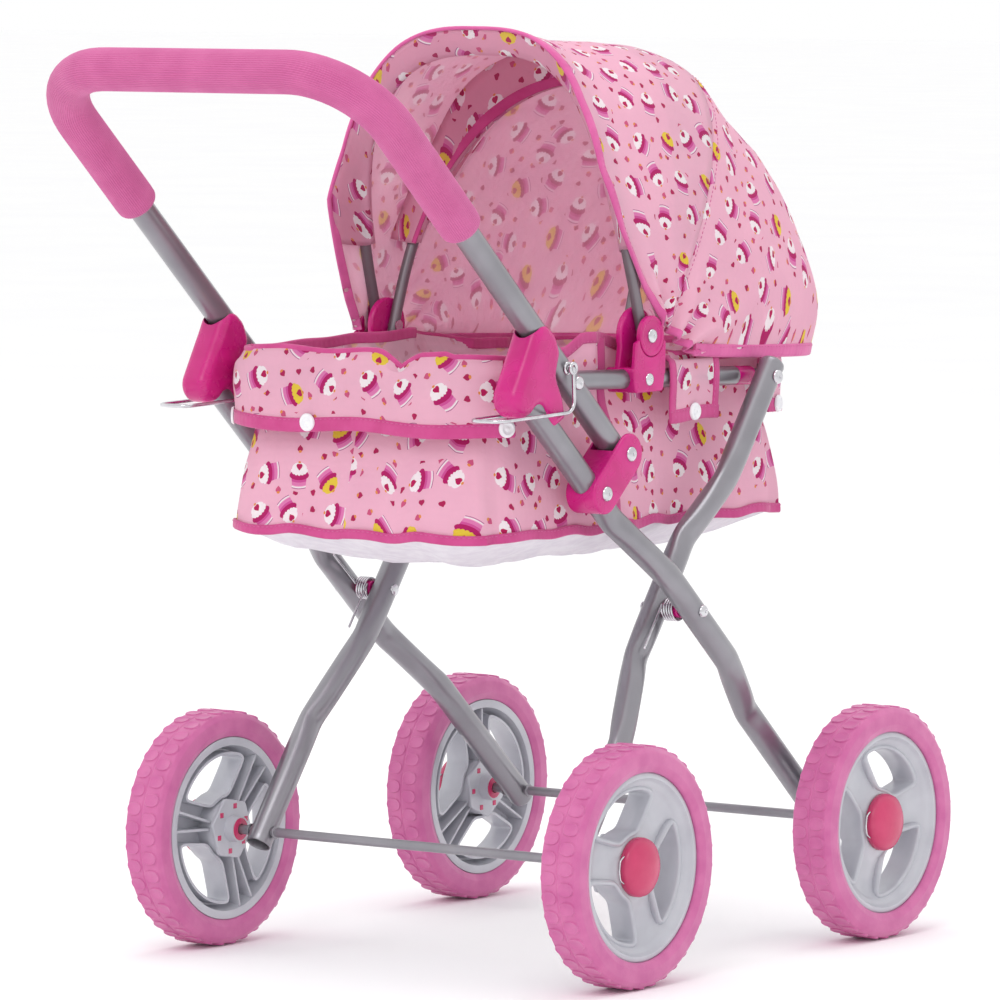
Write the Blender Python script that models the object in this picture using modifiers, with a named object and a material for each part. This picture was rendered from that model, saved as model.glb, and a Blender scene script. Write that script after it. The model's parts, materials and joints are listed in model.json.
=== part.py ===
"""Folding doll stroller: crossed tube legs on four wheels, a folding push handle,
a fabric basket on a riveted side frame and a two-bow hood.

Units are metres, +Z is up, +Y points away from the handle and +X is the right side.
Heights are measured from the ground.  Lengths along Y are measured from the rear axle,
and the empty frame_origin moves that point so that the model is centred on its origin.
"""
import math

import bmesh
import bpy
import numpy as np
from mathutils import Matrix, Vector

# ---------------------------------------------------------------- driving dimensions
CLEAR = 0.0003              # gap between pieces that touch

WHEEL_R = 0.074             # tyre outer radius
RIM_R = 0.057               # plastic wheel outer radius
TYRE_W = 0.029              # tyre width
TRACK = 0.3176              # between tyre centres, left to right
WHEELBASE = 0.2674          # rear axle to front axle
AXLE_R = 0.003
HUB_IN = 0.0215             # hub end, inward from the tyre centre
CAP_R = 0.018
CAP_OUT = 0.0165            # tip of the hub cap, outward from the tyre centre

TUBE_R = 0.008              # legs and push handle
TUBE_X = 0.1184             # plane of the handle tubes and leg tops
LEG_LOW_X = 0.1190          # leg ends at the axles
LEG_OUT_X = 0.1325          # front legs bowed outward at the crossing
LEG_IN_X = 0.1045           # rear legs bowed inward at the crossing
FRONT_LEG_SLOPE = 1.12      # run per metre of height
FRONT_LEG_LOW_BEND = 0.185  # height of the bend above the axle
REAR_LEG_SLOPE = 1 / 0.733  # height gained per metre run
LEG_BEND_R = 0.030

HANDLE_Z = 0.5523           # centre of the crossbar
HANDLE_SLOPE = 1.104        # backward run per metre of height
HANDLE_BEND_R = 0.050
HANDLE_LINE = (-0.068, 0.42)    # a point (y, z) on the handle's side tubes
GRIP_R = 0.013
GRIP_END_Z = {"r": 0.460, "l": 0.469}

RAIL_R = 0.006              # basket side rails
RAIL_X = 0.0995
HOOP_R = 0.004              # basket end hoops
BASKET_Y = (-0.0733, 0.2713)    # rear and front of the fabric cuff
BASKET_RIM_Z = 0.372
BASKET_CUFF_Z = 0.331
BASKET_SEAM_Z = 0.272
BASKET_SAG_Z = 0.250
CUFF_X = 0.1063
CUFF_CORNER_R = 0.045
CLOTH_T = 0.0009

BOW_R = 0.0035
REAR_BOW_X = 0.1015
FRONT_BOW_X = 0.0893
HOOD_T = 0.0012
HOOD_X = 0.1078             # half width of the hood
HOOD_HINGE = (0.105, 0.372)     # axis (y, z) that the hood's panels fan out from

# Pivots of the folding linkage, as (y, z) in the side view
PIVOT_CROSS = (0.1056, 0.2184)
PIVOT_HANDLE = (0.0446, 0.3180)
PIVOT_RAIL = (-0.0055, 0.3635)
PIVOT_LEG_TOP = (0.2070, 0.3565)
PIVOT_BOW = (0.0960, 0.3865)
BRACKET_LOW = (0.0193, 0.2955)
BAIL_PIN = (-0.0165, 0.3730)

# ---------------------------------------------------------------- derived places
AXLE_Z = WHEEL_R
HANDLE_TOP_Y = HANDLE_LINE[0] - HANDLE_SLOPE * (HANDLE_Z - HANDLE_LINE[1])
MID_Y = ((WHEELBASE + WHEEL_R) + (HANDLE_TOP_Y - GRIP_R)) / 2
SIDES = {"r": 1, "l": -1}


def handle_y(z):
    """Where the handle's side tubes are at a height."""
    return HANDLE_LINE[0] - HANDLE_SLOPE * (z - HANDLE_LINE[1])


def front_leg_y(z):
    """The front leg's line runs through the crossing pivot, and from its lowest bend to the axle."""
    if z >= FRONT_LEG_LOW_BEND:
        return PIVOT_CROSS[0] - FRONT_LEG_SLOPE * (z - PIVOT_CROSS[1])
    share = (FRONT_LEG_LOW_BEND - z) / (FRONT_LEG_LOW_BEND - AXLE_Z)
    return front_leg_y(FRONT_LEG_LOW_BEND) * (1 - share) + WHEELBASE * share


def rear_leg_y(z):
    return (z - AXLE_Z) / REAR_LEG_SLOPE


LEG_TOP_Z = 0.3640          # end of the front leg's tube, inside the lock clip
HANDLE_DIR = Vector((0, -HANDLE_SLOPE, 1)).normalized()     # up along the side tubes
HANDLE_NORMAL = Vector((0, 1, HANDLE_SLOPE)).normalized()   # away from the front legs

# ---------------------------------------------------------------- materials
MATERIALS = {
    "painted_tube": ((0.33, 0.33, 0.35), 0.35, 0.8),
    "steel": ((0.60, 0.60, 0.62), 0.25, 1.0),
    "tyre_foam": ((0.78, 0.16, 0.46), 0.6, 0.0),
    "wheel_plastic": ((0.46, 0.48, 0.54), 0.4, 0.0),
    "cap_plastic": ((0.80, 0.05, 0.17), 0.3, 0.0),
    "magenta_plastic": ((0.72, 0.01, 0.25), 0.3, 0.0),
    "grip_foam": ((0.69, 0.12, 0.42), 0.6, 0.0),
    "print_fabric": ((0.86, 0.52, 0.66), 0.9, 0.0),
}


def material(name):
    """The named Principled material, made on first use."""
    found = bpy.data.materials.get(name)
    if found:
        return found
    colour, roughness, metallic = MATERIALS[name]
    made = bpy.data.materials.new(name)
    made.use_nodes = True
    shader = made.node_tree.nodes["Principled BSDF"]
    shader.inputs["Base Color"].default_value = (*colour, 1)
    shader.inputs["Roughness"].default_value = roughness
    shader.inputs["Metallic"].default_value = metallic
    made.diffuse_color = (*colour, 1)
    return made


# ---------------------------------------------------------------- scene and bodies
for old in list(bpy.data.objects):
    bpy.data.objects.remove(old, do_unlink=True)
STROLLER = bpy.data.collections.new("doll_stroller")
CUTTERS = bpy.data.collections.new("cutters")
bpy.context.scene.collection.children.link(STROLLER)
bpy.context.scene.collection.children.link(CUTTERS)


def empty(name, place, parent=None):
    """An axis empty; place is measured from the rear axle on the ground."""
    made = bpy.data.objects.new(name, None)
    made.empty_display_size = 0.02
    STROLLER.objects.link(made)
    made.location = Vector(place) - (Vector(parent["place"]) if parent else Vector())
    made["place"] = place
    made.parent = parent
    return made


ORIGIN = empty("frame_origin", (0, 0, 0))
ORIGIN.location = (0, -MID_Y, 0)
BODY = {"front_legs": ORIGIN}
BODY["rear_legs"] = empty("axis_rear_legs", (0, *PIVOT_CROSS), ORIGIN)
BODY["handle"] = empty("axis_handle", (0, *PIVOT_HANDLE), ORIGIN)
BODY["basket_frame"] = empty("axis_basket_frame", (0, *PIVOT_RAIL), BODY["handle"])
BODY["front_bow"] = empty("axis_front_bow", (0, *PIVOT_BOW), BODY["basket_frame"])
BODY["rear_bow"] = empty("axis_rear_bow", (0, *PIVOT_BOW), BODY["front_bow"])
for side, sign in SIDES.items():
    BODY["bail_" + side] = empty("axis_bail_" + side, (sign * TUBE_X, *BAIL_PIN), BODY["handle"])
    wheel_x = sign * TRACK / 2
    BODY["rear_wheel_" + side] = empty("axis_rear_wheel_" + side, (wheel_x, 0, AXLE_Z), BODY["rear_legs"])
    BODY["front_wheel_" + side] = empty("axis_front_wheel_" + side, (wheel_x, WHEELBASE, AXLE_Z), ORIGIN)


def join_body(piece, body, finish):
    """Hang a piece, placed from the rear axle on the ground, on its body's axis empty."""
    axis = BODY[body]
    piece.parent = axis
    piece.matrix_parent_inverse = Matrix.Translation(-Vector(axis["place"]))
    piece.data.materials.clear()
    piece.data.materials.append(material(finish))
    return piece


def shade(mesh, degrees=35):
    mesh.shade_smooth()
    mesh.set_sharp_from_angle(angle=math.radians(degrees))


def add_mesh(name, mesh, collection=STROLLER):
    made = bpy.data.objects.new(name, mesh)
    collection.objects.link(made)
    return made


def mesh_from(name, build):
    """A new mesh filled by a function that gets an empty bmesh."""
    shape = bmesh.new()
    build(shape)
    mesh = bpy.data.meshes.new(name)
    shape.to_mesh(mesh)
    shape.free()
    return mesh


# ---------------------------------------------------------------- shape helpers
def rounded(points, radius, steps=4):
    """A polyline with its inner corners turned into arcs of the given radius."""
    points = [Vector(p) for p in points]
    path = [points[0]]
    shares = [0.98] + [0.49] * (len(points) - 3) + [0.98]   # of each stretch, for one arc
    for k, (before, corner, after) in enumerate(zip(points, points[1:], points[2:])):
        a, b = (before - corner).normalized(), (after - corner).normalized()
        half = a.angle(b) / 2
        if math.pi / 2 - half < 1e-4:
            path.append(corner)
            continue
        room = min(shares[k] * (before - corner).length, shares[k + 1] * (after - corner).length)
        reach = min(radius / math.tan(half), room)
        bend = reach * math.tan(half)
        centre = corner + (a + b).normalized() * bend / math.sin(half)
        start, end = corner + a * reach - centre, corner + b * reach - centre
        for step in range(steps + 1):
            path.append(centre + start.slerp(end, step / steps).normalized() * bend)
    path.append(points[-1])
    return path


def curve_mesh(name, path, radius, resolution=4, cyclic=False):
    """A round rod along a path, as a closed mesh."""
    curve = bpy.data.curves.new(name, "CURVE")
    curve.dimensions = "3D"
    curve.bevel_depth = radius
    curve.bevel_resolution = resolution
    curve.use_fill_caps = not cyclic
    spline = curve.splines.new("POLY")
    spline.points.add(len(path) - 1)
    for point, place in zip(spline.points, path):
        point.co = (*place, 1)
    spline.use_cyclic_u = cyclic
    holder = bpy.data.objects.new(name, curve)
    STROLLER.objects.link(holder)
    seen = holder.evaluated_get(bpy.context.evaluated_depsgraph_get())
    mesh = bpy.data.meshes.new_from_object(seen)
    bpy.data.objects.remove(holder, do_unlink=True)
    shape = bmesh.new()
    shape.from_mesh(mesh)
    bmesh.ops.remove_doubles(shape, verts=shape.verts, dist=1e-6)
    bmesh.ops.recalc_face_normals(shape, faces=shape.faces)
    shape.to_mesh(mesh)
    shape.free()
    mesh.name = name
    return mesh


def rod(name, path, radius, body, finish, resolution=2):
    piece = add_mesh(name, curve_mesh(name, path, radius, resolution))
    shade(piece.data, 60)
    return join_body(piece, body, finish)


def turned(name, profile, place, body, finish, steps=16, flip=1):
    """A body turned about X: profile is a list of (distance outward along X, radius)."""
    closed_loop = all(radius > 0 for _, radius in profile)
    points = [Vector((radius, 0, flip * out)) for out, radius in profile]
    area = sum(a.x * b.z - b.x * a.z for a, b in zip(points, points[1:] + points[:1]))
    if area > 0:
        points.reverse()

    def build(shape):
        verts = [shape.verts.new(p) for p in points]
        for a, b in zip(verts, verts[1:]):
            shape.edges.new((a, b))
        if closed_loop:
            shape.edges.new((verts[-1], verts[0]))

    piece = add_mesh(name, mesh_from(name, build))
    screw = piece.modifiers.new("turn", "SCREW")
    screw.steps = screw.render_steps = steps
    screw.use_merge_vertices = True
    screw.merge_threshold = 1e-6
    screw.use_smooth_shade = True
    piece.rotation_euler = (0, math.radians(90), 0)
    piece.location = place
    return join_body(piece, body, finish)


def plate_mesh(name, outline, x_low, x_high):
    """A flat outline in the side view, as (y, z) points, given a thickness along X."""
    curve = bpy.data.curves.new(name, "CURVE")
    curve.dimensions = "2D"
    curve.fill_mode = "BOTH"
    curve.extrude = (x_high - x_low) / 2
    spline = curve.splines.new("POLY")
    spline.points.add(len(outline) - 1)
    for point, (y, z) in zip(spline.points, outline):
        point.co = (y, z, 0, 1)
    spline.use_cyclic_u = True
    holder = bpy.data.objects.new(name, curve)
    STROLLER.objects.link(holder)
    seen = holder.evaluated_get(bpy.context.evaluated_depsgraph_get())
    mesh = bpy.data.meshes.new_from_object(seen)
    bpy.data.objects.remove(holder, do_unlink=True)
    # The outline's plane becomes the Y-Z plane and its thickness runs along X
    turn = Matrix(((0, 0, 1, (x_low + x_high) / 2), (1, 0, 0, 0), (0, 1, 0, 0), (0, 0, 0, 1)))
    mesh.transform(turn)
    shape = bmesh.new()
    shape.from_mesh(mesh)
    bmesh.ops.remove_doubles(shape, verts=shape.verts, dist=1e-6)
    bmesh.ops.recalc_face_normals(shape, faces=shape.faces)
    shape.to_mesh(mesh)
    shape.free()
    return mesh


def arc(centre, radius, start, end, steps):
    """Points (y, z) on an arc; angles in degrees from +Y towards +Z."""
    angles = np.radians(np.linspace(start, end, steps + 1))
    return [(centre[0] + radius * math.cos(a), centre[1] + radius * math.sin(a)) for a in angles]


def cut(piece, name, mesh):
    """Take a closed mesh, placed from the rear axle on the ground, away from a piece."""
    cutter = add_mesh(name, mesh, CUTTERS)
    cutter.hide_render = True
    cutter.display_type = "WIRE"
    cutter.parent = ORIGIN
    tool = piece.modifiers.new(name, "BOOLEAN")
    tool.operation = "DIFFERENCE"
    tool.solver = "EXACT"
    tool.object = cutter
    return piece


def cylinder_mesh(name, start, end, radius, sides=16):
    """A closed cylinder between two points."""
    start, end = Vector(start), Vector(end)
    along = end - start
    turn = along.to_track_quat("Z", "Y").to_matrix().to_4x4()

    def build(shape):
        bmesh.ops.create_cone(shape, cap_ends=True, segments=sides, radius1=radius, radius2=radius,
                              depth=along.length, matrix=Matrix.Translation((start + end) / 2) @ turn)

    return mesh_from(name, build)


def box_mesh(name, low, high, turn=Matrix.Identity(4)):
    low, high = Vector(low), Vector(high)
    size = Matrix.Diagonal((*(high - low), 1))
    return mesh_from(name, lambda shape: bmesh.ops.create_cube(
        shape, size=1, matrix=turn @ Matrix.Translation((low + high) / 2) @ size))


def bore(piece, name, centre, radius, x_low=-0.2, x_high=0.2, sides=12):
    """A round hole along X through the side-view point centre = (y, z)."""
    return cut(piece, name, cylinder_mesh(name, (x_low, *centre), (x_high, *centre), radius, sides))


def between(sign, near, far):
    """An X range given from the middle plane outward, for one side."""
    return sorted((sign * near, sign * far))


def rivet(name, sign, centre, x_from, x_to, radius, body, head_out=0.0022, head_in=0.0016, head_r=None):
    """A domed rivet along X, its shank from x_from to x_to measured outward."""
    head = head_r or radius * 2
    profile = []
    if head_in:
        profile += [(x_from - head_in, 0), (x_from - head_in, head * 0.8), (x_from, head), (x_from, radius)]
    else:
        profile += [(x_from, 0), (x_from, radius)]
    profile += [(x_to, radius), (x_to, head), (x_to + head_out * 0.6, head * 0.8), (x_to + head_out, 0)]
    return turned(name, profile, (0, *centre), body, "steel", 10, sign)


# ---------------------------------------------------------------- legs and axles
RIVET_R = 0.0025
LOW_RIVET_R = 0.0025


def tube_between_bends(sign, along_y, heights_and_x, z_end_low, z_end_high):
    """A leg that is straight in the side view and bent sideways at given heights."""
    low_x, high_x = heights_and_x[0][1], heights_and_x[-1][1]
    points = [(sign * low_x, along_y(z_end_low), z_end_low)]
    points += [(sign * x, along_y(z), z) for z, x in heights_and_x]
    points += [(sign * high_x, along_y(z_end_high), z_end_high)]
    return rounded(points, LEG_BEND_R, 3)


FRONT_BENDS = ((0.149, LEG_LOW_X), (FRONT_LEG_LOW_BEND, LEG_OUT_X), (0.2415, LEG_OUT_X), (0.2775, TUBE_X))
REAR_BENDS = ((0.140, LEG_LOW_X), (0.190, LEG_IN_X), (0.260, LEG_IN_X), (0.295, TUBE_X))
LEG_FOOT = 0.009            # tube left below the axle

for side, sign in SIDES.items():
    path = tube_between_bends(sign, front_leg_y, FRONT_BENDS, AXLE_Z - LEG_FOOT * 0.67, LEG_TOP_Z)
    front_leg = rod("front_leg_" + side, path, TUBE_R, "front_legs", "painted_tube")
    for spot, centre, radius in (("axle", (WHEELBASE, AXLE_Z), AXLE_R), ("cross", PIVOT_CROSS, RIVET_R),
                                 ("bracket", BRACKET_LOW, LOW_RIVET_R)):
        bore(front_leg, "front_leg_%s_hole_%s" % (spot, side), centre, radius + CLEAR)
    path = tube_between_bends(sign, rear_leg_y, REAR_BENDS, AXLE_Z - LEG_FOOT * 0.8, PIVOT_LEG_TOP[1] + 0.009)
    rear_leg = rod("rear_leg_" + side, path, TUBE_R, "rear_legs", "painted_tube")
    for spot, centre, radius in (("axle", (0, AXLE_Z), AXLE_R), ("cross", PIVOT_CROSS, RIVET_R),
                                 ("rail", PIVOT_LEG_TOP, RIVET_R)):
        bore(rear_leg, "rear_leg_%s_hole_%s" % (spot, side), centre, radius + CLEAR)

AXLE_HALF = TRACK / 2 + 0.0045
for name, y, body in (("front_axle", WHEELBASE, "front_legs"), ("rear_axle", 0, "rear_legs")):
    rod(name, [(-AXLE_HALF, y, AXLE_Z), (AXLE_HALF, y, AXLE_Z)], AXLE_R, body, "painted_tube")

# ---------------------------------------------------------------- crossing pivots
CROSS_HEAD_X = LEG_OUT_X + TUBE_R + CLEAR
SPACER_IN = LEG_IN_X + TUBE_R + CLEAR
SPACER_OUT = LEG_OUT_X - TUBE_R - CLEAR
SPACER_R = 0.0050
SPRING_WIRE_R = 0.00075
SPRING_R = 0.0066           # mean radius of the coil
SPRING_TURNS = 5
SPRING_POINTS = 8          # points in one turn


def spring_path(sign):
    """Torsion spring: one arm up the front leg, the coil, one arm down the rear leg."""
    pitch = (SPACER_OUT - SPACER_IN - 2 * SPRING_WIRE_R - 2 * CLEAR) / SPRING_TURNS
    centre_y, centre_z = PIVOT_CROSS
    first, path = math.radians(150), []
    for step in range(SPRING_TURNS * SPRING_POINTS + 1):
        turn = step / SPRING_POINTS
        angle = first - 2 * math.pi * turn
        x = SPACER_OUT - SPRING_WIRE_R - CLEAR - pitch * turn
        y, z = centre_y + SPRING_R * math.cos(angle), centre_z + SPRING_R * math.sin(angle)
        path.append(Vector((sign * x, y, z)))
    up = Vector((0, -FRONT_LEG_SLOPE, 1)).normalized()
    down = Vector((0, -1 / REAR_LEG_SLOPE, -1)).normalized()
    return [path[0] + up * 0.030] + path + [path[-1] + down * 0.032]


for side, sign in SIDES.items():
    rivet("cross_rivet_" + side, sign, PIVOT_CROSS, LEG_IN_X - TUBE_R - CLEAR, CROSS_HEAD_X, RIVET_R,
          "front_legs", head_r=0.0058)
    spacer = [(SPACER_IN, RIVET_R + CLEAR), (SPACER_IN, SPACER_R), (SPACER_OUT, SPACER_R),
              (SPACER_OUT, RIVET_R + CLEAR)]
    turned("cross_spacer_" + side, spacer, (0, *PIVOT_CROSS), "front_legs", "magenta_plastic", 12, sign)
    rod("torsion_spring_" + side, spring_path(sign), SPRING_WIRE_R, "front_legs", "steel", 1)

# ---------------------------------------------------------------- push handle and grip
HANDLE_END = 0.009          # tube left below its pivot
pivot_z = PIVOT_HANDLE[1]


def handle_side(sign, z):
    return (sign * TUBE_X, handle_y(z), z)


# The tubes' line passes through the handle pivot, so the tube ends just below it
handle_foot_z = pivot_z - HANDLE_END * HANDLE_DIR.z
HANDLE_CORNERS = [handle_side(1, handle_foot_z), handle_side(1, HANDLE_Z), handle_side(-1, HANDLE_Z),
                  handle_side(-1, handle_foot_z)]
handle = rod("handle_tube", rounded(HANDLE_CORNERS, HANDLE_BEND_R, 7), TUBE_R, "handle", "painted_tube")
for spot, centre in (("pivot", PIVOT_HANDLE), ("rail", PIVOT_RAIL), ("bail", BAIL_PIN)):
    bore(handle, "handle_%s_hole" % spot, centre, RIVET_R + CLEAR)

GRIP_CORNERS = [handle_side(1, GRIP_END_Z["r"]), handle_side(1, HANDLE_Z), handle_side(-1, HANDLE_Z),
                handle_side(-1, GRIP_END_Z["l"])]
grip = rod("handle_grip", rounded(GRIP_CORNERS, HANDLE_BEND_R, 7), GRIP_R, "handle", "grip_foam", 3)
grip_bore = curve_mesh("grip_bore", rounded(HANDLE_CORNERS, HANDLE_BEND_R, 7), TUBE_R + 2 * CLEAR, 2)
cut(grip, "grip_bore", grip_bore)

# ---------------------------------------------------------------- link brackets and lock clips
PLATE_IN = TUBE_R + 2 * CLEAR       # inner face of a bracket plate, from the tube's plane
PLATE_OUT = 0.0111
BRACKET_END_R = 0.0125
SLOT_R = math.hypot(BRACKET_END_R, TUBE_R + CLEAR) + 3 * CLEAR     # room for the tube between the plates


def hull_outline(a, b, radius, steps=6):
    """The outline of two discs of one radius joined by their tangents."""
    lean = math.degrees(math.atan2(b[1] - a[1], b[0] - a[0]))
    return arc(b, radius, lean - 90, lean + 90, steps) + arc(a, radius, lean + 90, lean + 270, steps)


def along_front_leg(sign, radius, name):
    """A bore round the upper, straight stretch of a front leg."""
    z_low, z_high = FRONT_BENDS[-1][0] - 0.004, 0.40
    low, high = (Vector((sign * TUBE_X, front_leg_y(z), z)) for z in (z_low, z_high))
    return cylinder_mesh(name, low, high, radius, 16)


CLIP_HALF = 0.0103
CLIP_HOOK = (-0.0370, 0.3892)       # on the handle's line

for side, sign in SIDES.items():
    low, high = between(sign, TUBE_X - PLATE_OUT, TUBE_X + PLATE_OUT)
    outline = hull_outline(BRACKET_LOW, PIVOT_HANDLE, BRACKET_END_R)
    bracket = add_mesh("link_bracket_" + side, plate_mesh("link_bracket_" + side, outline, low, high))
    join_body(bracket, "front_legs", "magenta_plastic")
    leg_bore = along_front_leg(sign, TUBE_R + CLEAR, "bracket_leg_bore_" + side)
    cut(bracket, "bracket_leg_bore_" + side, leg_bore)
    inner, outer = between(sign, TUBE_X - PLATE_IN, TUBE_X + PLATE_IN)
    bore(bracket, "bracket_handle_slot_" + side, PIVOT_HANDLE, SLOT_R, inner, outer, 24)
    for spot, centre in (("handle", PIVOT_HANDLE), ("leg", BRACKET_LOW)):
        bore(bracket, "bracket_%s_hole_%s" % (spot, side), centre, RIVET_R + CLEAR)
        rivet("%s_rivet_%s" % ({"handle": "handle_pivot", "leg": "bracket"}[spot], side), sign, centre,
              TUBE_X - PLATE_OUT - CLEAR, TUBE_X + PLATE_OUT + CLEAR, RIVET_R, "front_legs", head_r=0.0046)

    low, high = between(sign, TUBE_X - CLIP_HALF, TUBE_X + CLIP_HALF)
    outline = [(-0.0175, 0.3400), (-0.0255, 0.3290), *arc((-0.0715, 0.3560), 0.0125, 215, 110, 5),
               (-0.0600, 0.3800), *arc((-0.0480, 0.3905), 0.0125, 170, 60, 5), (-0.0330, 0.3920),
               (-0.0250, 0.3830), (-0.0300, 0.3700), (-0.0270, 0.3560)]
    clip = add_mesh("lock_clip_" + side, plate_mesh("lock_clip_" + side, outline, low, high))
    join_body(clip, "front_legs", "magenta_plastic")
    cut(clip, "clip_leg_bore_" + side, along_front_leg(sign, TUBE_R + CLEAR, "clip_leg_bore_" + side))
    # The hook is open away from the leg, so that the handle can swing out of it
    axis = Vector((sign * TUBE_X, *CLIP_HOOK))
    slot_end = HANDLE_DIR * 0.05
    cut(clip, "clip_hook_bore_" + side,
        cylinder_mesh("clip_hook_bore_" + side, axis - slot_end, axis + slot_end, TUBE_R + CLEAR, 16))
    turn = Matrix.Translation(axis) @ HANDLE_DIR.to_track_quat("Z", "Y").to_matrix().to_4x4()
    local_normal = (turn.to_3x3().inverted() @ HANDLE_NORMAL).normalized()
    reach = local_normal * 0.03
    slot_low = Vector([min(0, c) for c in reach]) - Vector((TUBE_R + CLEAR, 0, 0.05))
    slot_high = Vector([max(0, c) for c in reach]) + Vector((TUBE_R + CLEAR, 0, 0.05))
    cut(clip, "clip_hook_mouth_" + side, box_mesh("clip_hook_mouth_" + side, slot_low, slot_high, turn))

# ---------------------------------------------------------------- safety bails
BAIL_WIRE_R = 0.0012
BAIL_HALF = TUBE_R + 0.0038   # half the width of the loop, clear of the rivet heads
BAIL_DROP_Z = 0.3468
BAIL_REAR_Y = -0.0900

for side, sign in SIDES.items():
    pin_y, pin_z = BAIL_PIN
    corner_y = pin_y + 0.0015
    half_loop = [(pin_y, pin_z), (corner_y, BAIL_DROP_Z), (BAIL_REAR_Y, BAIL_DROP_Z - 0.002)]
    route = [(sign * (TUBE_X + BAIL_HALF), y, z) for y, z in half_loop]
    route += [(sign * (TUBE_X - BAIL_HALF), y, z) for y, z in reversed(half_loop)]
    rod("safety_bail_" + side, rounded(route, 0.006, 3), BAIL_WIRE_R, "bail_" + side, "steel", 2)
    rivet("bail_rivet_" + side, sign, BAIL_PIN, TUBE_X - TUBE_R - CLEAR, TUBE_X + TUBE_R + CLEAR, RIVET_R,
          "handle", head_out=0.0014, head_in=0.0014, head_r=0.0042)

# ---------------------------------------------------------------- basket frame
PLUG_LENGTH = 0.0200
rail_start, rail_end = Vector((0, *PIVOT_RAIL)), Vector((0, *PIVOT_LEG_TOP))
RAIL_DIR = (rail_end - rail_start).normalized()
RAIL_TAIL = 0.0065          # tube left behind the rear rivet
rail_rear = rail_start - RAIL_DIR * RAIL_TAIL
plug_front = rail_end + RAIL_DIR * 0.0095
rail_front = plug_front - RAIL_DIR * PLUG_LENGTH
HOOP_IN = CUFF_X - RAIL_X   # hoops run the same distance inside the cuff as the rails


def hoop_path(start, end_y):
    """From one side's rail end, round the basket's end, to the other side."""
    half = Vector((RAIL_X, 0, 0))
    corner = Vector((0, end_y, start.z))
    path = [start + half, corner + half, corner - half, start - half]
    return rounded(path, CUFF_CORNER_R - HOOP_IN, 5)


def bow_path(half_width, base_y, lean, curl, height, power):
    """An arch from one hood hinge to the other: leaning, and curving towards its top."""
    path = []
    for step in range(BOW_STEPS + 1):
        angle = math.pi * step / BOW_STEPS
        side_part = math.copysign(abs(math.cos(angle)) ** (2 / power), math.cos(angle))
        rise = height * math.sin(angle) ** (2 / power)
        y = base_y + lean * rise + curl * rise ** 3
        path.append(Vector((half_width * side_part, y, PIVOT_BOW[1] + rise)))
    return path


BOW_STEPS = 18
BOW_TAIL = 0.0045           # wire left below the hood hinge
HUB_R = 0.0125
HUB_CHAMFER = 0.0010
DOME = (0.0932, 0.0976)     # X range of the bracket's upright plate, between the two bows
SADDLE = (0.0872, 0.1090)   # X range of the bracket's clamp round the rail

for name, start, end_y in (("rear_hoop", rail_rear - RAIL_DIR * CLEAR, BASKET_Y[0] + HOOP_IN),
                           ("front_hoop", plug_front + RAIL_DIR * CLEAR, BASKET_Y[1] - HOOP_IN)):
    rod(name, hoop_path(start, end_y), HOOP_R, "basket_frame", "painted_tube")

for side, sign in SIDES.items():
    at_rail = Vector((sign * RAIL_X, 0, 0))
    rail_ends = [rail_rear + at_rail, rail_front + at_rail]
    rail = rod("side_rail_" + side, rail_ends, RAIL_R, "basket_frame", "painted_tube")
    bore(rail, "rail_rear_hole_" + side, PIVOT_RAIL, RIVET_R + CLEAR)
    rivet("rail_rivet_" + side, sign, PIVOT_RAIL, RAIL_X - RAIL_R - CLEAR, TUBE_X + TUBE_R + CLEAR, RIVET_R,
          "handle", head_in=0.0010, head_r=0.0040)
    rod("rail_plug_" + side, [rail_front + at_rail + RAIL_DIR * CLEAR, plug_front + at_rail], RAIL_R,
        "basket_frame", "magenta_plastic")
    rivet("leg_top_rivet_" + side, sign, PIVOT_LEG_TOP, TUBE_X - TUBE_R, TUBE_X + TUBE_R + CLEAR, RIVET_R,
          "rear_legs", head_in=0, head_r=0.0046)

    # Hood hinge: a saddle clamped round the rail and an upright plate between the bows
    rail_z = rail_start.z + (PIVOT_BOW[0] - rail_start.y) * RAIL_DIR.z / RAIL_DIR.y
    low, high = between(sign, *SADDLE)
    base = [(PIVOT_BOW[0] - 0.0180, rail_z - 0.0080), (PIVOT_BOW[0] + 0.0120, rail_z - 0.0080),
            (PIVOT_BOW[0] + 0.0150, rail_z + 0.0075), (PIVOT_BOW[0] - 0.0200, rail_z + 0.0075)]
    hinge = add_mesh("hood_bracket_" + side, plate_mesh("hood_bracket_" + side, base, low, high))
    join_body(hinge, "basket_frame", "magenta_plastic")
    low, high = between(sign, *DOME)
    dome = [(PIVOT_BOW[0] + 0.0140, rail_z + 0.0070), *arc(PIVOT_BOW, 0.0175, -20, 200, 10),
            (PIVOT_BOW[0] - 0.0190, rail_z + 0.0070)]
    upright_mesh = plate_mesh("hood_upright_" + side, dome, low, high)
    upright = add_mesh("hood_upright_" + side, upright_mesh, CUTTERS)
    upright.hide_render = True
    upright.display_type = "WIRE"
    upright.parent = ORIGIN
    union = hinge.modifiers.new("upright", "BOOLEAN")
    union.operation = "UNION"
    union.solver = "EXACT"
    union.object = upright
    cut(hinge, "hinge_rail_bore_" + side, cylinder_mesh(
        "hinge_rail_bore_" + side, rail_rear + at_rail, rail_front + at_rail, RAIL_R + CLEAR, 16))
    bore(hinge, "hinge_pin_hole_" + side, PIVOT_BOW, RIVET_R + CLEAR)

# ---------------------------------------------------------------- hood bows
BOW_FOOT_Y = PIVOT_BOW[0]
REAR_BOW = dict(half_width=REAR_BOW_X, base_y=BOW_FOOT_Y, lean=-0.306, curl=5.06, height=0.1760, power=2.9)
FRONT_BOW = dict(half_width=FRONT_BOW_X, base_y=BOW_FOOT_Y, lean=0.322, curl=10.4, height=0.1560, power=2.7)

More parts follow.
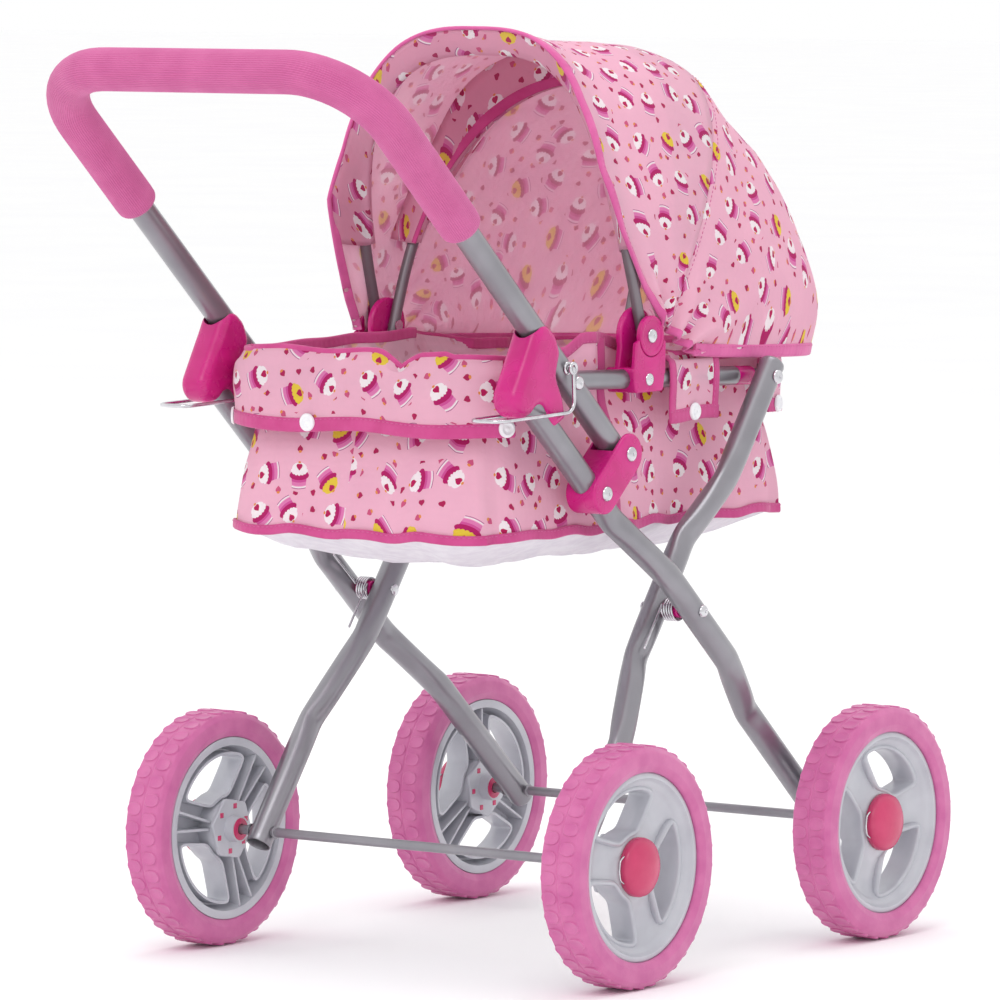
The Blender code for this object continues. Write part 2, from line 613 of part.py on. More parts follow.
for name, shape in (("rear_bow", REAR_BOW), ("front_bow", FRONT_BOW)):
    path = bow_path(**shape)
    tail = Vector((0, -shape["lean"], -1)).normalized() * BOW_TAIL
    path = [path[0] + tail] + path + [path[-1] + tail]
    bow = rod(name, path, BOW_R, name, "painted_tube", 2)
    bore(bow, name + "_pin_hole", PIVOT_BOW, 0.0015 + CLEAR, sides=8)

BOW_PIN_R = 0.0015
for side, sign in SIDES.items():
    hub_in, hub_out = REAR_BOW_X + BOW_R + CLEAR, SADDLE[1]
    disc = [(hub_in, BOW_PIN_R + CLEAR), (hub_in, HUB_R), (hub_out - HUB_CHAMFER, HUB_R),
            (hub_out, HUB_R - HUB_CHAMFER), (hub_out, BOW_PIN_R + CLEAR)]
    turned("bow_hub_" + side, disc, (0, *PIVOT_BOW), "rear_bow", "magenta_plastic", 20, sign)
    pin_from = FRONT_BOW_X - BOW_R - CLEAR
    rivet("bow_pin_" + side, sign, PIVOT_BOW, pin_from, hub_out + CLEAR, BOW_PIN_R, "basket_frame",
          head_out=0.0006, head_in=0.0008, head_r=0.0035)

# ---------------------------------------------------------------- basket
BASKET_CENTRE_Y = sum(BASKET_Y) / 2
BASKET_HALF_Y = (BASKET_Y[1] - BASKET_Y[0]) / 2
WALL_IN = CUFF_X - RAIL_X + RAIL_R + 0.0028     # basket wall, inward from the cuff
CORNER_STEPS = 4


def ring(inset, z):
    """A rounded rectangle of the basket's plan, inset from the cuff."""
    half_x, half_y = CUFF_X - inset, BASKET_HALF_Y - inset
    radius = max(CUFF_CORNER_R - inset, 0.25 * half_x)
    points = []
    for corner, (side_x, side_y) in enumerate(((1, 1), (-1, 1), (-1, -1), (1, -1))):
        centre_x = side_x * (half_x - radius)
        centre_y = BASKET_CENTRE_Y + side_y * (half_y - radius)
        for step in range(CORNER_STEPS + 1):
            angle = math.radians(90 * corner + 90 * step / CORNER_STEPS)
            x, y = centre_x + radius * math.cos(angle), centre_y + radius * math.sin(angle)
            points.append(Vector((x, y, z)))
    return points


def basket_rings():
    rim = BASKET_RIM_Z
    rows = [(0, BASKET_CUFF_Z), (0, rim - 0.0065), (0.0030, rim - 0.0020), (0.0074, rim),
            (0.0118, rim - 0.0020), (WALL_IN, rim - 0.0065), (WALL_IN, 0.320), (WALL_IN + 0.003, 0.295),
            (WALL_IN + 0.006, BASKET_SEAM_Z), (WALL_IN + 0.025, BASKET_SEAM_Z - 0.010),
            (WALL_IN + 0.050, BASKET_SAG_Z)]
    return [ring(inset, z) for inset, z in rows]


def build_basket(shape):
    rows = [[shape.verts.new(p) for p in points] for points in basket_rings()]
    for lower, upper in zip(rows, rows[1:]):
        for k in range(len(lower)):
            after = (k + 1) % len(lower)
            shape.faces.new((lower[k], lower[after], upper[after], upper[k]))
    shape.faces.new(rows[-1])
    bmesh.ops.recalc_face_normals(shape, faces=shape.faces)


basket = add_mesh("basket", mesh_from("basket", build_basket))
join_body(basket, "basket_frame", "print_fabric")
wall = basket.modifiers.new("cloth", "SOLIDIFY")
wall.thickness = CLOTH_T
wall.offset = 0
CUT_BACK = BASKET_Y[0] + 0.0270     # the cuff is open from here to the front of the hood bracket
CUT_FRONT = PIVOT_BOW[0] + 0.0200
for side, sign in SIDES.items():
    low, high = between(sign, CUFF_X - WALL_IN + 0.0010, 0.13)
    hinge_low, hinge_high = between(sign, 0.080, 0.13)
    gaps = {"cuff_gap": ((low, CUT_BACK, 0.30), (high, CUT_FRONT, 0.40)),
            "leg_gap": ((low, rail_front.y - 0.008, 0.30), (high, plug_front.y + 0.006, 0.40)),
            "hinge_gap": ((hinge_low, PIVOT_BOW[0] - 0.022, rail_z - 0.010),
                          (hinge_high, PIVOT_BOW[0] + 0.0185, 0.40))}
    for gap, corners in gaps.items():
        cut(basket, "%s_%s" % (gap, side), box_mesh("%s_%s" % (gap, side), *corners))

# ---------------------------------------------------------------- hood
# Arches fan out from HOOD_HINGE: lean from vertical in degrees, reach at the top,
# squareness, and reach of the lower end, for the rim, the sag, the seam and the front
HOOD_ARCHES = ((-12.6, 0.207, 3.0, 0.046), (10.5, 0.196, 2.8, 0.040), (33.0, 0.217, 2.7, 0.028),
               (45.0, 0.211, 3.0, 0.020), (66.0, 0.230, 3.5, 0.016), (81.0, 0.229, 4.4, 0.0145),
               (92.0, 0.216, 4.6, 0.0145))
SEAM_LEAN = 33.0
HOOD_COLUMNS = 20


def hood_arch(lean):
    """Points of the hood's arch at a lean angle, from the left side to the right."""
    leans, reaches, powers, feet = zip(*HOOD_ARCHES)
    reach, power, foot = (float(np.interp(lean, leans, row)) for row in (reaches, powers, feet))
    start = math.asin((foot / reach) ** (power / 2))
    points = []
    for column in range(HOOD_COLUMNS + 1):
        angle = math.pi - start - (math.pi - 2 * start) * column / HOOD_COLUMNS
        x = HOOD_X * math.copysign(abs(math.cos(angle)) ** (2 / power), math.cos(angle))
        part = math.sin(angle) ** (2 / power)
        # the rim hangs back between its top and its foot
        back = 10.0 * (1 - part ** 4) * max(0.0, min(1.0, (SEAM_LEAN - lean) / 45.6))
        tilt = math.radians(lean - back)
        points.append(Vector((x, HOOD_HINGE[0] + reach * part * math.sin(tilt),
                              HOOD_HINGE[1] + reach * part * math.cos(tilt))))
    return points


def hood_panel(name, leans, body):
    def build(shape):
        rows = [[shape.verts.new(p) for p in hood_arch(lean)] for lean in leans]
        for a, b in zip(rows, rows[1:]):
            for k in range(HOOD_COLUMNS):
                shape.faces.new((a[k], a[k + 1], b[k + 1], b[k]))

    panel = add_mesh(name, mesh_from(name, build))
    shade(panel.data, 60)
    cloth = panel.modifiers.new("cloth", "SOLIDIFY")
    cloth.thickness = HOOD_T
    cloth.offset = 0
    return join_body(panel, body, "print_fabric")


SEAM_GAP = 0.35             # degrees between the two panels
hood_panel("canopy_rear", np.linspace(-12.6, SEAM_LEAN, 6), "rear_bow")
hood_panel("canopy_front", np.linspace(SEAM_LEAN + SEAM_GAP, 92.0, 8), "basket_frame")

# ---------------------------------------------------------------- wheels
# Profiles as (distance outward from the tyre centre, radius)
TYRE_PROFILE = ((-TYRE_W / 2 + 0.002, RIM_R + CLEAR), (-TYRE_W / 2, 0.0620), (-TYRE_W / 2 + 0.001, 0.0680),
                (-TYRE_W / 2 + 0.005, 0.0728), (0, WHEEL_R), (TYRE_W / 2 - 0.005, 0.0728),
                (TYRE_W / 2 - 0.001, 0.0680), (TYRE_W / 2, 0.0620), (TYRE_W / 2 - 0.002, RIM_R + CLEAR))
HUB_PROFILE = ((-HUB_IN, AXLE_R + CLEAR), (-HUB_IN, 0.0085), (-0.0150, 0.0085), (-0.0150, 0.0185),
               (-0.0040, 0.0185), (-0.0040, 0.0495), (-0.0125, 0.0520), (-0.0125, RIM_R), (0.0110, RIM_R),
               (0.0110, 0.0530), (0.0060, 0.0480), (0.0060, AXLE_R + CLEAR))
CAP_PROFILE = ((0.0063, 0), (0.0063, CAP_R), (CAP_OUT - 0.0050, CAP_R), (CAP_OUT - 0.0018, CAP_R * 0.78),
               (CAP_OUT, CAP_R * 0.35), (CAP_OUT, 0))
SPOKES = 3
WHEEL_STEPS = 26            # the same on tyre and wheel, so that their facets line up
OPENING_R = (0.0215, 0.0460)
OPENING_HALF_ANGLE = 41
# direction of each wheel's first window, in degrees from +Y towards +Z
WHEEL_PHASE = {"rear_wheel_r": 109, "rear_wheel_l": 110, "front_wheel_r": 69, "front_wheel_l": 37}


def opening_mesh(name, place, direction):
    """A rounded window between two spokes, as a closed cutter through the wheel."""
    inner, outer = OPENING_R
    corners = [*arc((0, 0), inner, OPENING_HALF_ANGLE * 0.6, -OPENING_HALF_ANGLE * 0.6, 2),
               *arc((0, 0), outer, -OPENING_HALF_ANGLE, OPENING_HALF_ANGLE, 6)]
    turn = math.radians(direction)
    across, up = (math.cos(turn), math.sin(turn)), (-math.sin(turn), math.cos(turn))
    outline = [(place.y + y * across[0] + z * up[0], place.z + y * across[1] + z * up[1]) for y, z in corners]
    return plate_mesh(name, outline, place.x - 0.03, place.x + 0.03)


for body, phase in WHEEL_PHASE.items():
    sign = SIDES[body[-1]]
    place = Vector(BODY[body]["place"])
    turned(body.replace("wheel", "tyre"), TYRE_PROFILE, place, body, "tyre_foam", WHEEL_STEPS, sign)
    wheel = turned(body, HUB_PROFILE, place, body, "wheel_plastic", WHEEL_STEPS, sign)
    for spoke in range(SPOKES):
        name = "%s_window_%d" % (body, spoke + 1)
        cut(wheel, name, opening_mesh(name, place, phase + spoke * 360 / SPOKES))
    turned(body.replace("wheel", "cap"), CAP_PROFILE, place, body, "cap_plastic", 16, sign)
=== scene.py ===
"""Looks of the folding doll stroller: painted tubes, moulded hinges and wheels, foam tyres
and grip, and the sewn cotton basket and hood.

Lengths are in metres.  Along Y they are measured from the rear axle and along Z from the
ground; piece() moves every finished mesh to the frame's own origin.
"""

import json
import math

import bmesh
import bpy
import numpy as np
from mathutils import Matrix, Vector, noise


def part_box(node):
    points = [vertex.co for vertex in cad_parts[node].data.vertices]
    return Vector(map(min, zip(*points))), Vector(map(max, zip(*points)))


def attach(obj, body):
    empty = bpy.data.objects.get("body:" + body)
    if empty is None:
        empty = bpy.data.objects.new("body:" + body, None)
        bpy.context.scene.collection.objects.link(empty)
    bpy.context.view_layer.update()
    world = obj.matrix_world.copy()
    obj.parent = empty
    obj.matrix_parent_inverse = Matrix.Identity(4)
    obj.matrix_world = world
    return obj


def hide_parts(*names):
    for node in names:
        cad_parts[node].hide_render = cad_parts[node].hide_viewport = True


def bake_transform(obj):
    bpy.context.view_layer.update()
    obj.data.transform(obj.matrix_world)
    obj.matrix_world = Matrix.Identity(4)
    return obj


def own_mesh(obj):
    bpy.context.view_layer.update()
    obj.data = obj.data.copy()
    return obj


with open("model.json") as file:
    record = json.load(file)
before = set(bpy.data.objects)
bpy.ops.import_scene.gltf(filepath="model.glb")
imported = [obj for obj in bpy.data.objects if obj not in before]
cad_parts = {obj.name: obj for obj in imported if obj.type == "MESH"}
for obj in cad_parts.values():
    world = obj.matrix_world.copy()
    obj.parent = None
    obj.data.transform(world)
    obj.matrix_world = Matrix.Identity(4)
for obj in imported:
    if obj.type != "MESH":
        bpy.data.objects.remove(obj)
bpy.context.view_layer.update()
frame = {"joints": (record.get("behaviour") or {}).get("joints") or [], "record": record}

SIDES = {"r": 1, "l": -1}


# ---------------------------------------------------------------- places from the frame
def middle(node):
    low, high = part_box(node)
    return (low + high) / 2


ORIGIN = Vector((0, middle("rear_axle").y, 0))
PIVOT = {joint["name"]: Vector(joint["pos_m"]) - ORIGIN for joint in frame["joints"]}
CROSS, HANDLE_PIVOT, RAIL_PIVOT = PIVOT["leg_cross"], PIVOT["handle_fold"], PIVOT["rail_pivot"]
BOW_PIVOT, BAIL_PIN = PIVOT["front_bow_fold"], PIVOT["bail_r_lift"]
LEG_TOP = middle("leg_top_rivet_r") - ORIGIN
BRACKET_LOW = middle("bracket_rivet_r") - ORIGIN
AXLE_Z = PIVOT["rear_wheel_r_spin"].z
WHEELBASE = PIVOT["front_wheel_r_spin"].y
TRACK = 2 * PIVOT["rear_wheel_r_spin"].x
TUBE_X = BAIL_PIN.x

# ---------------------------------------------------------------- sizes shared with the CAD
TUBE_R, RAIL_R, HOOP_R, BOW_R, AXLE_R = 0.008, 0.006, 0.004, 0.0035, 0.003
RAIL_X, REAR_BOW_X, FRONT_BOW_X = 0.0995, 0.1015, 0.0893
HANDLE_Z, HANDLE_SLOPE, HANDLE_BEND_R = 0.5523, 1.104, 0.050
HANDLE_LINE = (-0.068, 0.42)
GRIP_R = 0.013
GRIP_END_Z = {"r": 0.460, "l": 0.469}
FRONT_LEG_SLOPE, REAR_LEG_SLOPE = 1.12, 0.733
LEG_LOW_X, LEG_OUT_X, LEG_IN_X = 0.1190, 0.1325, 0.1045
FRONT_BENDS = ((0.149, LEG_LOW_X), (0.185, LEG_OUT_X), (0.2415, LEG_OUT_X), (0.2775, TUBE_X))
REAR_BENDS = ((0.140, LEG_LOW_X), (0.190, LEG_IN_X), (0.260, LEG_IN_X), (0.295, TUBE_X))
LEG_BEND_R = 0.030
LEG_TOP_Z = 0.3640
BASKET_Y = (-0.0733, 0.2713)
CUFF_X, CUFF_CORNER_R = 0.1063, 0.045
RIM_Z, SEAM_Z, SAG_Z = 0.372, 0.272, 0.248
WALL_IN = 0.0156            # basket wall, inward from the cuff
HOOD_X = 0.1078
HOOD_HINGE = Vector((0, 0.105, 0.372))
SADDLE_X = (0.0872, 0.1090)
HUB_R = 0.0125              # bow hub discs


def handle_y(z):
    return HANDLE_LINE[0] - HANDLE_SLOPE * (z - HANDLE_LINE[1])


def front_leg_y(z):
    return CROSS.y - FRONT_LEG_SLOPE * (z - CROSS.z)


def rear_leg_y(z):
    return REAR_LEG_SLOPE * (z - AXLE_Z)


# ---------------------------------------------------------------- mesh helpers
def rounded(points, radius, steps=10, closed=False):
    """A polyline with its corners turned into arcs of the given radius."""
    points = [Vector(p) for p in points]
    count = len(points)
    corners = range(count) if closed else range(1, count - 1)
    path = [] if closed else [points[0]]
    for k in corners:
        before, corner, after = points[k - 1], points[k], points[(k + 1) % count]
        a, b = (before - corner).normalized(), (after - corner).normalized()
        half = a.angle(b) / 2
        if math.pi / 2 - half < 1e-4:
            path.append(corner)
            continue
        first_share = 0.98 if not closed and k == 1 else 0.49
        last_share = 0.98 if not closed and k == count - 2 else 0.49
        room = min(first_share * (before - corner).length, last_share * (after - corner).length)
        reach = min(radius / math.tan(half), room)
        bend = reach * math.tan(half)
        centre = corner + (a + b).normalized() * bend / math.sin(half)
        start, end = corner + a * reach - centre, corner + b * reach - centre
        for step in range(steps + 1):
            path.append(centre + start.slerp(end, step / steps).normalized() * bend)
    return path if closed else path + [points[-1]]


def resampled(points, spacing, closed=False):
    """Points at even distances along a path."""
    line = np.array([tuple(p) for p in points] + ([tuple(points[0])] if closed else []))
    along = np.concatenate([[0], np.cumsum(np.linalg.norm(np.diff(line, axis=0), axis=1))])
    count = max(2, round(along[-1] / spacing))
    places = np.linspace(0, along[-1], count + 1)[:count if closed else count + 1]
    return [Vector(p) for p in np.stack([np.interp(places, along, line[:, k]) for k in range(3)], 1)]


def evenly(points, count):
    """A path divided into a number of even steps."""
    line = np.array([tuple(p) for p in points])
    along = np.concatenate([[0], np.cumsum(np.linalg.norm(np.diff(line, axis=0), axis=1))])
    places = np.linspace(0, along[-1], count + 1)
    return [Vector(p) for p in np.stack([np.interp(places, along, line[:, k]) for k in range(3)], 1)]


def grid_mesh(rows, wrap=False, loop=False, caps=False, sharp=50, straight=False):
    """Quads between rows of points.  wrap joins each row's end to its start, loop joins the last
    row to the first, caps close both ends.  The UV map is in metres along the surface."""
    shape = bmesh.new()
    layer = shape.loops.layers.uv.new("surface")
    verts = [[shape.verts.new(p) for p in row] for row in rows]
    tall, wide = len(rows), len(rows[0])
    grid = np.array([[tuple(p) for p in row] for row in rows])
    grid = np.concatenate([grid, grid[:, :1]], 1) if wrap else grid
    grid = np.concatenate([grid, grid[:1]], 0) if loop else grid
    u = np.zeros(grid.shape[:2])
    v = np.zeros(grid.shape[:2])
    u[:, 1:] = np.cumsum(np.linalg.norm(np.diff(grid, axis=1), axis=2), 1)
    v[1:, :] = np.cumsum(np.linalg.norm(np.diff(grid, axis=0), axis=2), 0)
    u -= u[:, wide // 2][:, None]
    if straight:
        u[:] = u.mean(axis=0)
    for i in range(tall if loop else tall - 1):
        for j in range(wide if wrap else wide - 1):
            at = ((i, j), (i, j + 1), (i + 1, j + 1), (i + 1, j))
            face = shape.faces.new([verts[a % tall][b % wide] for a, b in at])
            for corner, (a, b) in zip(face.loops, at):
                corner[layer].uv = (u[a, b], v[a, b])
    if caps:
        shape.faces.new(list(reversed(verts[0])))
        shape.faces.new(verts[-1])
    bmesh.ops.remove_doubles(shape, verts=shape.verts, dist=2e-6)
    if caps or (wrap and (loop or not any(edge.is_boundary for edge in shape.edges))):
        bmesh.ops.recalc_face_normals(shape, faces=shape.faces)
    mesh = bpy.data.meshes.new("made")
    shape.to_mesh(mesh)
    shape.free()
    mesh.shade_smooth()
    mesh.set_sharp_from_angle(angle=math.radians(sharp))
    return mesh


def carried_frames(path, up, closed=False):
    """Side and up vectors at each point of a path, turning as little as they can."""
    count, frames = len(path), []
    for k in range(count):
        before = path[k - 1] if closed or k else path[0]
        after = path[(k + 1) % count] if closed or k < count - 1 else path[-1]
        along = (after - before).normalized()
        up = (up - along * up.dot(along)).normalized()
        frames.append((along.cross(up), up))
    return frames


def circle(radius, sides, flat_side=1.0, flat_up=1.0):
    turns = [2 * math.pi * k / sides for k in range(sides)]
    return [(radius * flat_side * math.cos(t), radius * flat_up * math.sin(t)) for t in turns]


def swept_rows(path, section, up=Vector((1, 0, 0)), closed=False):
    """section(k) gives the (side, up) offsets of the outline at path point k."""
    rows = []
    for k, (side_dir, up_dir) in enumerate(carried_frames(path, up, closed)):
        rows.append([path[k] + side_dir * a + up_dir * b for a, b in section(k)])
    return rows


def wire(path, radius, sides=16, up=Vector((1, 0, 0)), closed=False):
    """A round wire with rounded ends."""
    if closed:
        return grid_mesh(swept_rows(path, lambda k: circle(radius, sides), up, True), wrap=True, loop=True)
    first, last = (path[0] - path[1]).normalized(), (path[-1] - path[-2]).normalized()
    path = [path[0] + first * radius * 0.8, path[0] + first * radius * 0.5] + list(path)
    path += [path[-1] + last * radius * 0.5, path[-1] + last * radius * 0.8]
    size = {0: 0.55, 1: 0.86, len(path) - 2: 0.86, len(path) - 1: 0.55}
    return grid_mesh(swept_rows(path, lambda k: circle(radius * size.get(k, 1), sides), up), wrap=True,
                     caps=True)


def pipe(path, radius, bends=(), wall=0.0010, sides=40, closed_ends=(False, False)):
    """A bent tube, pressed a little flat across X at its bends, with open or rounded ends."""
    path = resampled(path, 0.004)
    pressed = [sum(math.exp(-((p - Vector(b)).length / 0.011) ** 2) for b in bends) for p in path]
    rows = []
    for k, (side_dir, up_dir) in enumerate(carried_frames(path, Vector((1, 0, 0)))):
        rows.append([path[k] + side_dir * a + up_dir * b for a, b in
                     circle(radius, sides, 1 + 0.10 * pressed[k], 1 - 0.17 * pressed[k])])
    for end, is_closed in ((0, closed_ends[0]), (-1, closed_ends[1])):
        out = (path[0] - path[1] if end == 0 else path[-1] - path[-2]).normalized()
        ring = rows[end]
        centre = sum(ring, Vector()) / sides
        if is_closed:
            turns = [math.radians(a) for a in (20, 40, 60, 78)]
            extra = [[centre + (p - centre) * math.cos(t) + out * radius * 0.55 * math.sin(t) for p in ring]
                     for t in turns]
        else:
            inner, lip = (radius - wall) / radius, 0.0004
            steps = ((1 - 0.2 * wall / radius, lip), (inner + 0.2 * wall / radius, lip), (inner, 0),
                     (inner, -0.0060), (inner, -0.0160))
            extra = [[centre + (p - centre) * s + out * shift for p in ring] for s, shift in steps]
        rows = extra[::-1] + rows if end == 0 else rows + extra
    return grid_mesh(rows, wrap=True, caps=True)


def turned(profile, place, sign=1, steps=48, sharp=40):
    """A body turned about X: profile is (distance outward along X, radius)."""
    turns = [2 * math.pi * k / steps for k in range(steps)]
    rows = [[place + Vector((sign * out, r * math.cos(t), r * math.sin(t))) for t in turns] for out,
            r in profile]
    return grid_mesh(rows, wrap=True, loop=all(r > 1e-6 for _, r in profile), sharp=sharp)


def soft_profile(corners, radius, closed=True, steps=5):
    """A turning profile with rounded corners."""
    path = rounded([(out, r, 0) for out, r in corners], radius, steps, closed)
    return [(p.x, max(p.y, 0.0)) for p in path]


def arc(centre, radius, start, end, steps):
    """Points (y, z) on an arc; angles in degrees from +Y towards +Z."""
    turns = [math.radians(start + (end - start) * k / steps) for k in range(steps + 1)]
    return [(centre[0] + radius * math.cos(t), centre[1] + radius * math.sin(t)) for t in turns]


def plate(outline, x_low, x_high, edge=0.001, steps=5, sharp=50):
    """A flat (y, z) outline, going round anticlockwise, made thick along X with rounded edges."""
    points = [Vector(p) for p in outline]
    normals = []
    for k in range(len(points)):
        a = (points[k] - points[k - 1]).normalized()
        b = (points[(k + 1) % len(points)] - points[k]).normalized()
        out = Vector((a.y + b.y, -a.x - b.x))
        normals.append(out.normalized() / max(0.5, math.sqrt((1 + a.dot(b)) / 2)))
    rows = []
    for end, x_face in ((1, x_low), (-1, x_high)):
        for step in range(steps + 1):
            turn = math.radians(90 * (step if end == 1 else steps - step) / steps)
            x = x_face + end * edge * (1 - math.sin(math.pi / 2 - turn))
            inset = edge * (1 - math.sin(turn))
            rows.append([Vector((x, *(p - n * inset))) for p, n in zip(points, normals)])
    return grid_mesh(rows, wrap=True, caps=True, sharp=sharp)


def evened(outline, spacing, rounds):
    """A closed (y, z) outline at even spacing with its corners worn round."""
    line = np.array([tuple(p) for p in resampled([(0, *p) for p in outline], spacing, closed=True)])[:, 1:]
    for _ in range(rounds):
        line = (np.roll(line, 1, 0) + 2 * line + np.roll(line, -1, 0)) / 4
    return [tuple(p) for p in line]


def hull_outline(a, b, radius_a, radius_b=None, steps=20):
    """The outline of two discs joined by their tangents, as (y, z) points."""
    radius_b = radius_b or radius_a
    lean = math.degrees(math.atan2(b[1] - a[1], b[0] - a[0]))
    apart = math.hypot(b[0] - a[0], b[1] - a[1])
    flare = math.degrees(math.asin((radius_a - radius_b) / apart))
    return (arc(b, radius_b, lean - 90 + flare, lean + 90 - flare, steps)
            + arc(a, radius_a, lean + 90 - flare, lean + 270 + flare, steps))


def joined(*meshes):
    """Several meshes as one, each keeping its own shells and UV map."""
    shape = bmesh.new()
    for mesh in meshes:
        shape.from_mesh(mesh)
    made = bpy.data.meshes.new("joined")
    shape.to_mesh(made)
    shape.free()
    made.set_sharp_from_angle(angle=math.radians(50))
    return made


def carved(mesh, *cutters, sharp=40):
    """A mesh with closed meshes cut out of it."""
    holder = bpy.data.objects.new("carved", mesh)
    bpy.context.scene.collection.objects.link(holder)
    tools = []
    for cutter in cutters:
        tools.append(bpy.data.objects.new("cutter", cutter))
        bpy.context.scene.collection.objects.link(tools[-1])
        cut = holder.modifiers.new("cut", "BOOLEAN")
        cut.operation, cut.solver, cut.object = "DIFFERENCE", "EXACT", tools[-1]
    made = bpy.data.meshes.new_from_object(holder.evaluated_get(bpy.context.evaluated_depsgraph_get()))
    for thing in [holder] + tools:
        bpy.data.objects.remove(thing, do_unlink=True)
    made.shade_smooth()
    made.set_sharp_from_angle(angle=math.radians(sharp))
    return made


def rod_between(start, end, radius, sides=40):
    start, end = Vector(start), Vector(end)
    up = Vector((1, 0, 0)) if abs((end - start).normalized().x) < 0.9 else Vector((0, 0, 1))
    return grid_mesh(swept_rows([start, end], lambda k: circle(radius, sides), up), wrap=True, caps=True)


def with_modifiers(mesh, *steps):
    """A mesh after a list of (kind, settings) modifiers."""
    holder = bpy.data.objects.new("worked", mesh)
    bpy.context.scene.collection.objects.link(holder)
    for kind, settings in steps:
        step = holder.modifiers.new(kind, kind)
        for name, value in settings.items():
            setattr(step, name, value)
    made = bpy.data.meshes.new_from_object(holder.evaluated_get(bpy.context.evaluated_depsgraph_get()))
    bpy.data.objects.remove(holder, do_unlink=True)
    return made


# ---------------------------------------------------------------- materials
def colour(code):
    """The linear colour of an sRGB hex code."""
    parts = [int(code[k:k + 2], 16) / 255 for k in (1, 3, 5)]
    return (*[p / 12.92 if p <= 0.04045 else ((p + 0.055) / 1.055) ** 2.4 for p in parts], 1)


def add(tree, kind, inputs=(), **settings):
    """Adds a node.  Inputs, by number or name, are values, nodes (their first output) or sockets."""
    node = tree.nodes.new(kind)
    for name, value in settings.items():
        setattr(node, name, value)
    for key, value in (inputs.items() if isinstance(inputs, dict) else enumerate(inputs)):
        if isinstance(value, bpy.types.Node):
            value = value.outputs[0]
        if isinstance(value, bpy.types.NodeSocket):
            tree.links.new(value, node.inputs[key])
        elif value is not None:
            node.inputs[key].default_value = value
    return node


def new_material(name):
    """A material with an empty tree; returns it and its tree."""
    made = bpy.data.materials.new(name)
    made.use_nodes = True
    made.node_tree.nodes.clear()
    return made, made.node_tree


def finished(tree, shader):
    add(tree, "ShaderNodeOutputMaterial", {"Surface": shader.outputs[0]})


def per_metre(size_mm):
    """How often a pattern of that size, in millimetres, repeats in a metre."""
    return 1000 / size_mm


def speckled(tree, place, size_mm, detail=2.0):
    """Even noise with grains of about that size; its first output is a value."""
    return add(tree, "ShaderNodeTexNoise", {"Vector": place, "Scale": per_metre(size_mm), "Detail": detail})


def ramp(tree, value, low, high, to_low=0.0, to_high=1.0):
    return add(tree, "ShaderNodeMapRange", {"Value": value, "From Min": low, "From Max": high,
                                            "To Min": to_low, "To Max": to_high})


def plain_finish(name, base, second, roughness, mottle_mm, bump_mm, bump, metallic=0.0, **sockets):
    """A finish that varies slightly in colour and gloss, with a fine surface bump."""
    made, tree = new_material(name)
    place = add(tree, "ShaderNodeTexCoord").outputs["Object"]
    clouds = speckled(tree, place, mottle_mm, 3.0)
    tint = add(tree, "ShaderNodeMixRGB", {"Fac": ramp(tree, clouds, 0.35, 0.65), "Color1": colour(base),
                                          "Color2": colour(second)})
    gloss = ramp(tree, clouds, 0.3, 0.7, roughness * 0.88, roughness * 1.12)
    grain = speckled(tree, place, bump_mm)
    skin = add(tree, "ShaderNodeBump", {"Height": grain, "Strength": bump, "Distance": 0.0003})
    inputs = {"Base Color": tint, "Roughness": gloss, "Normal": skin, "Metallic": metallic}
    inputs.update(sockets)
    finished(tree, add(tree, "ShaderNodeBsdfPrincipled", inputs))
    return made


# Powder-coated steel tube: aluminium-flake silver paint, satin, with a faint orange peel
silver_paint = plain_finish("silver_powder_coat", "#96949a", "#8c8a90", 0.32, 40, 1.1, 0.05, 0.75,
                            **{"Coat Weight": 0.25, "Coat Roughness": 0.18})
# The hood's bows are the same tube with a duller, darker coat
dark_paint = plain_finish("dull_silver_paint", "#756d73", "#81787e", 0.42, 30, 1.1, 0.05, 0.55)
# Bright zinc plate on rivets, springs and wires: near-mirror with fine rubbed patches
zinc = plain_finish("bright_zinc_plate", "#d9d8dc", "#c6c5ca", 0.18, 6, 0.8, 0.015, 1.0)
# Expanded EVA foam, moulded with a skin: soft, matt, cloudy where the foam shows through
tyre_foam = plain_finish("moulded_eva_foam", "#cc6ba0", "#c25c96", 0.46, 14, 1.4, 0.22,
                         **{"Subsurface Weight": 0.12, "Subsurface Radius": (0.004, 0.002, 0.003),
                            "Sheen Weight": 0.15})
grip_foam = plain_finish("extruded_grip_foam", "#cc619b", "#c45993", 0.62, 20, 0.9, 0.18,
                         **{"Sheen Weight": 0.2})
# Polypropylene wheels, moulded in silver-grey: satin with pearly flow marks
wheel_plastic = plain_finish("silver_grey_polypropylene", "#c2c3ca", "#b7b8c0", 0.33, 25, 1.6, 0.04, 0.12,
                             **{"Coat Weight": 0.15, "Coat Roughness": 0.25})
# Coloured polypropylene mouldings: glossy and slightly see-through at thin edges
magenta_plastic = plain_finish("magenta_polypropylene", "#cc1a80", "#bf1274", 0.27, 18, 1.8, 0.05,
                               **{"Subsurface Weight": 0.10, "Subsurface Radius": (0.003, 0.001, 0.002)})
cap_plastic = plain_finish("coral_red_polypropylene", "#cb3f6c", "#c23563", 0.24, 18, 1.8, 0.05,
                           **{"Subsurface Weight": 0.10, "Subsurface Radius": (0.003, 0.001, 0.001)})
# Nylon press studs: white, smooth
stud_nylon = plain_finish("white_nylon", "#eeedf0", "#e6e5ea", 0.34, 5, 0.9, 0.05)


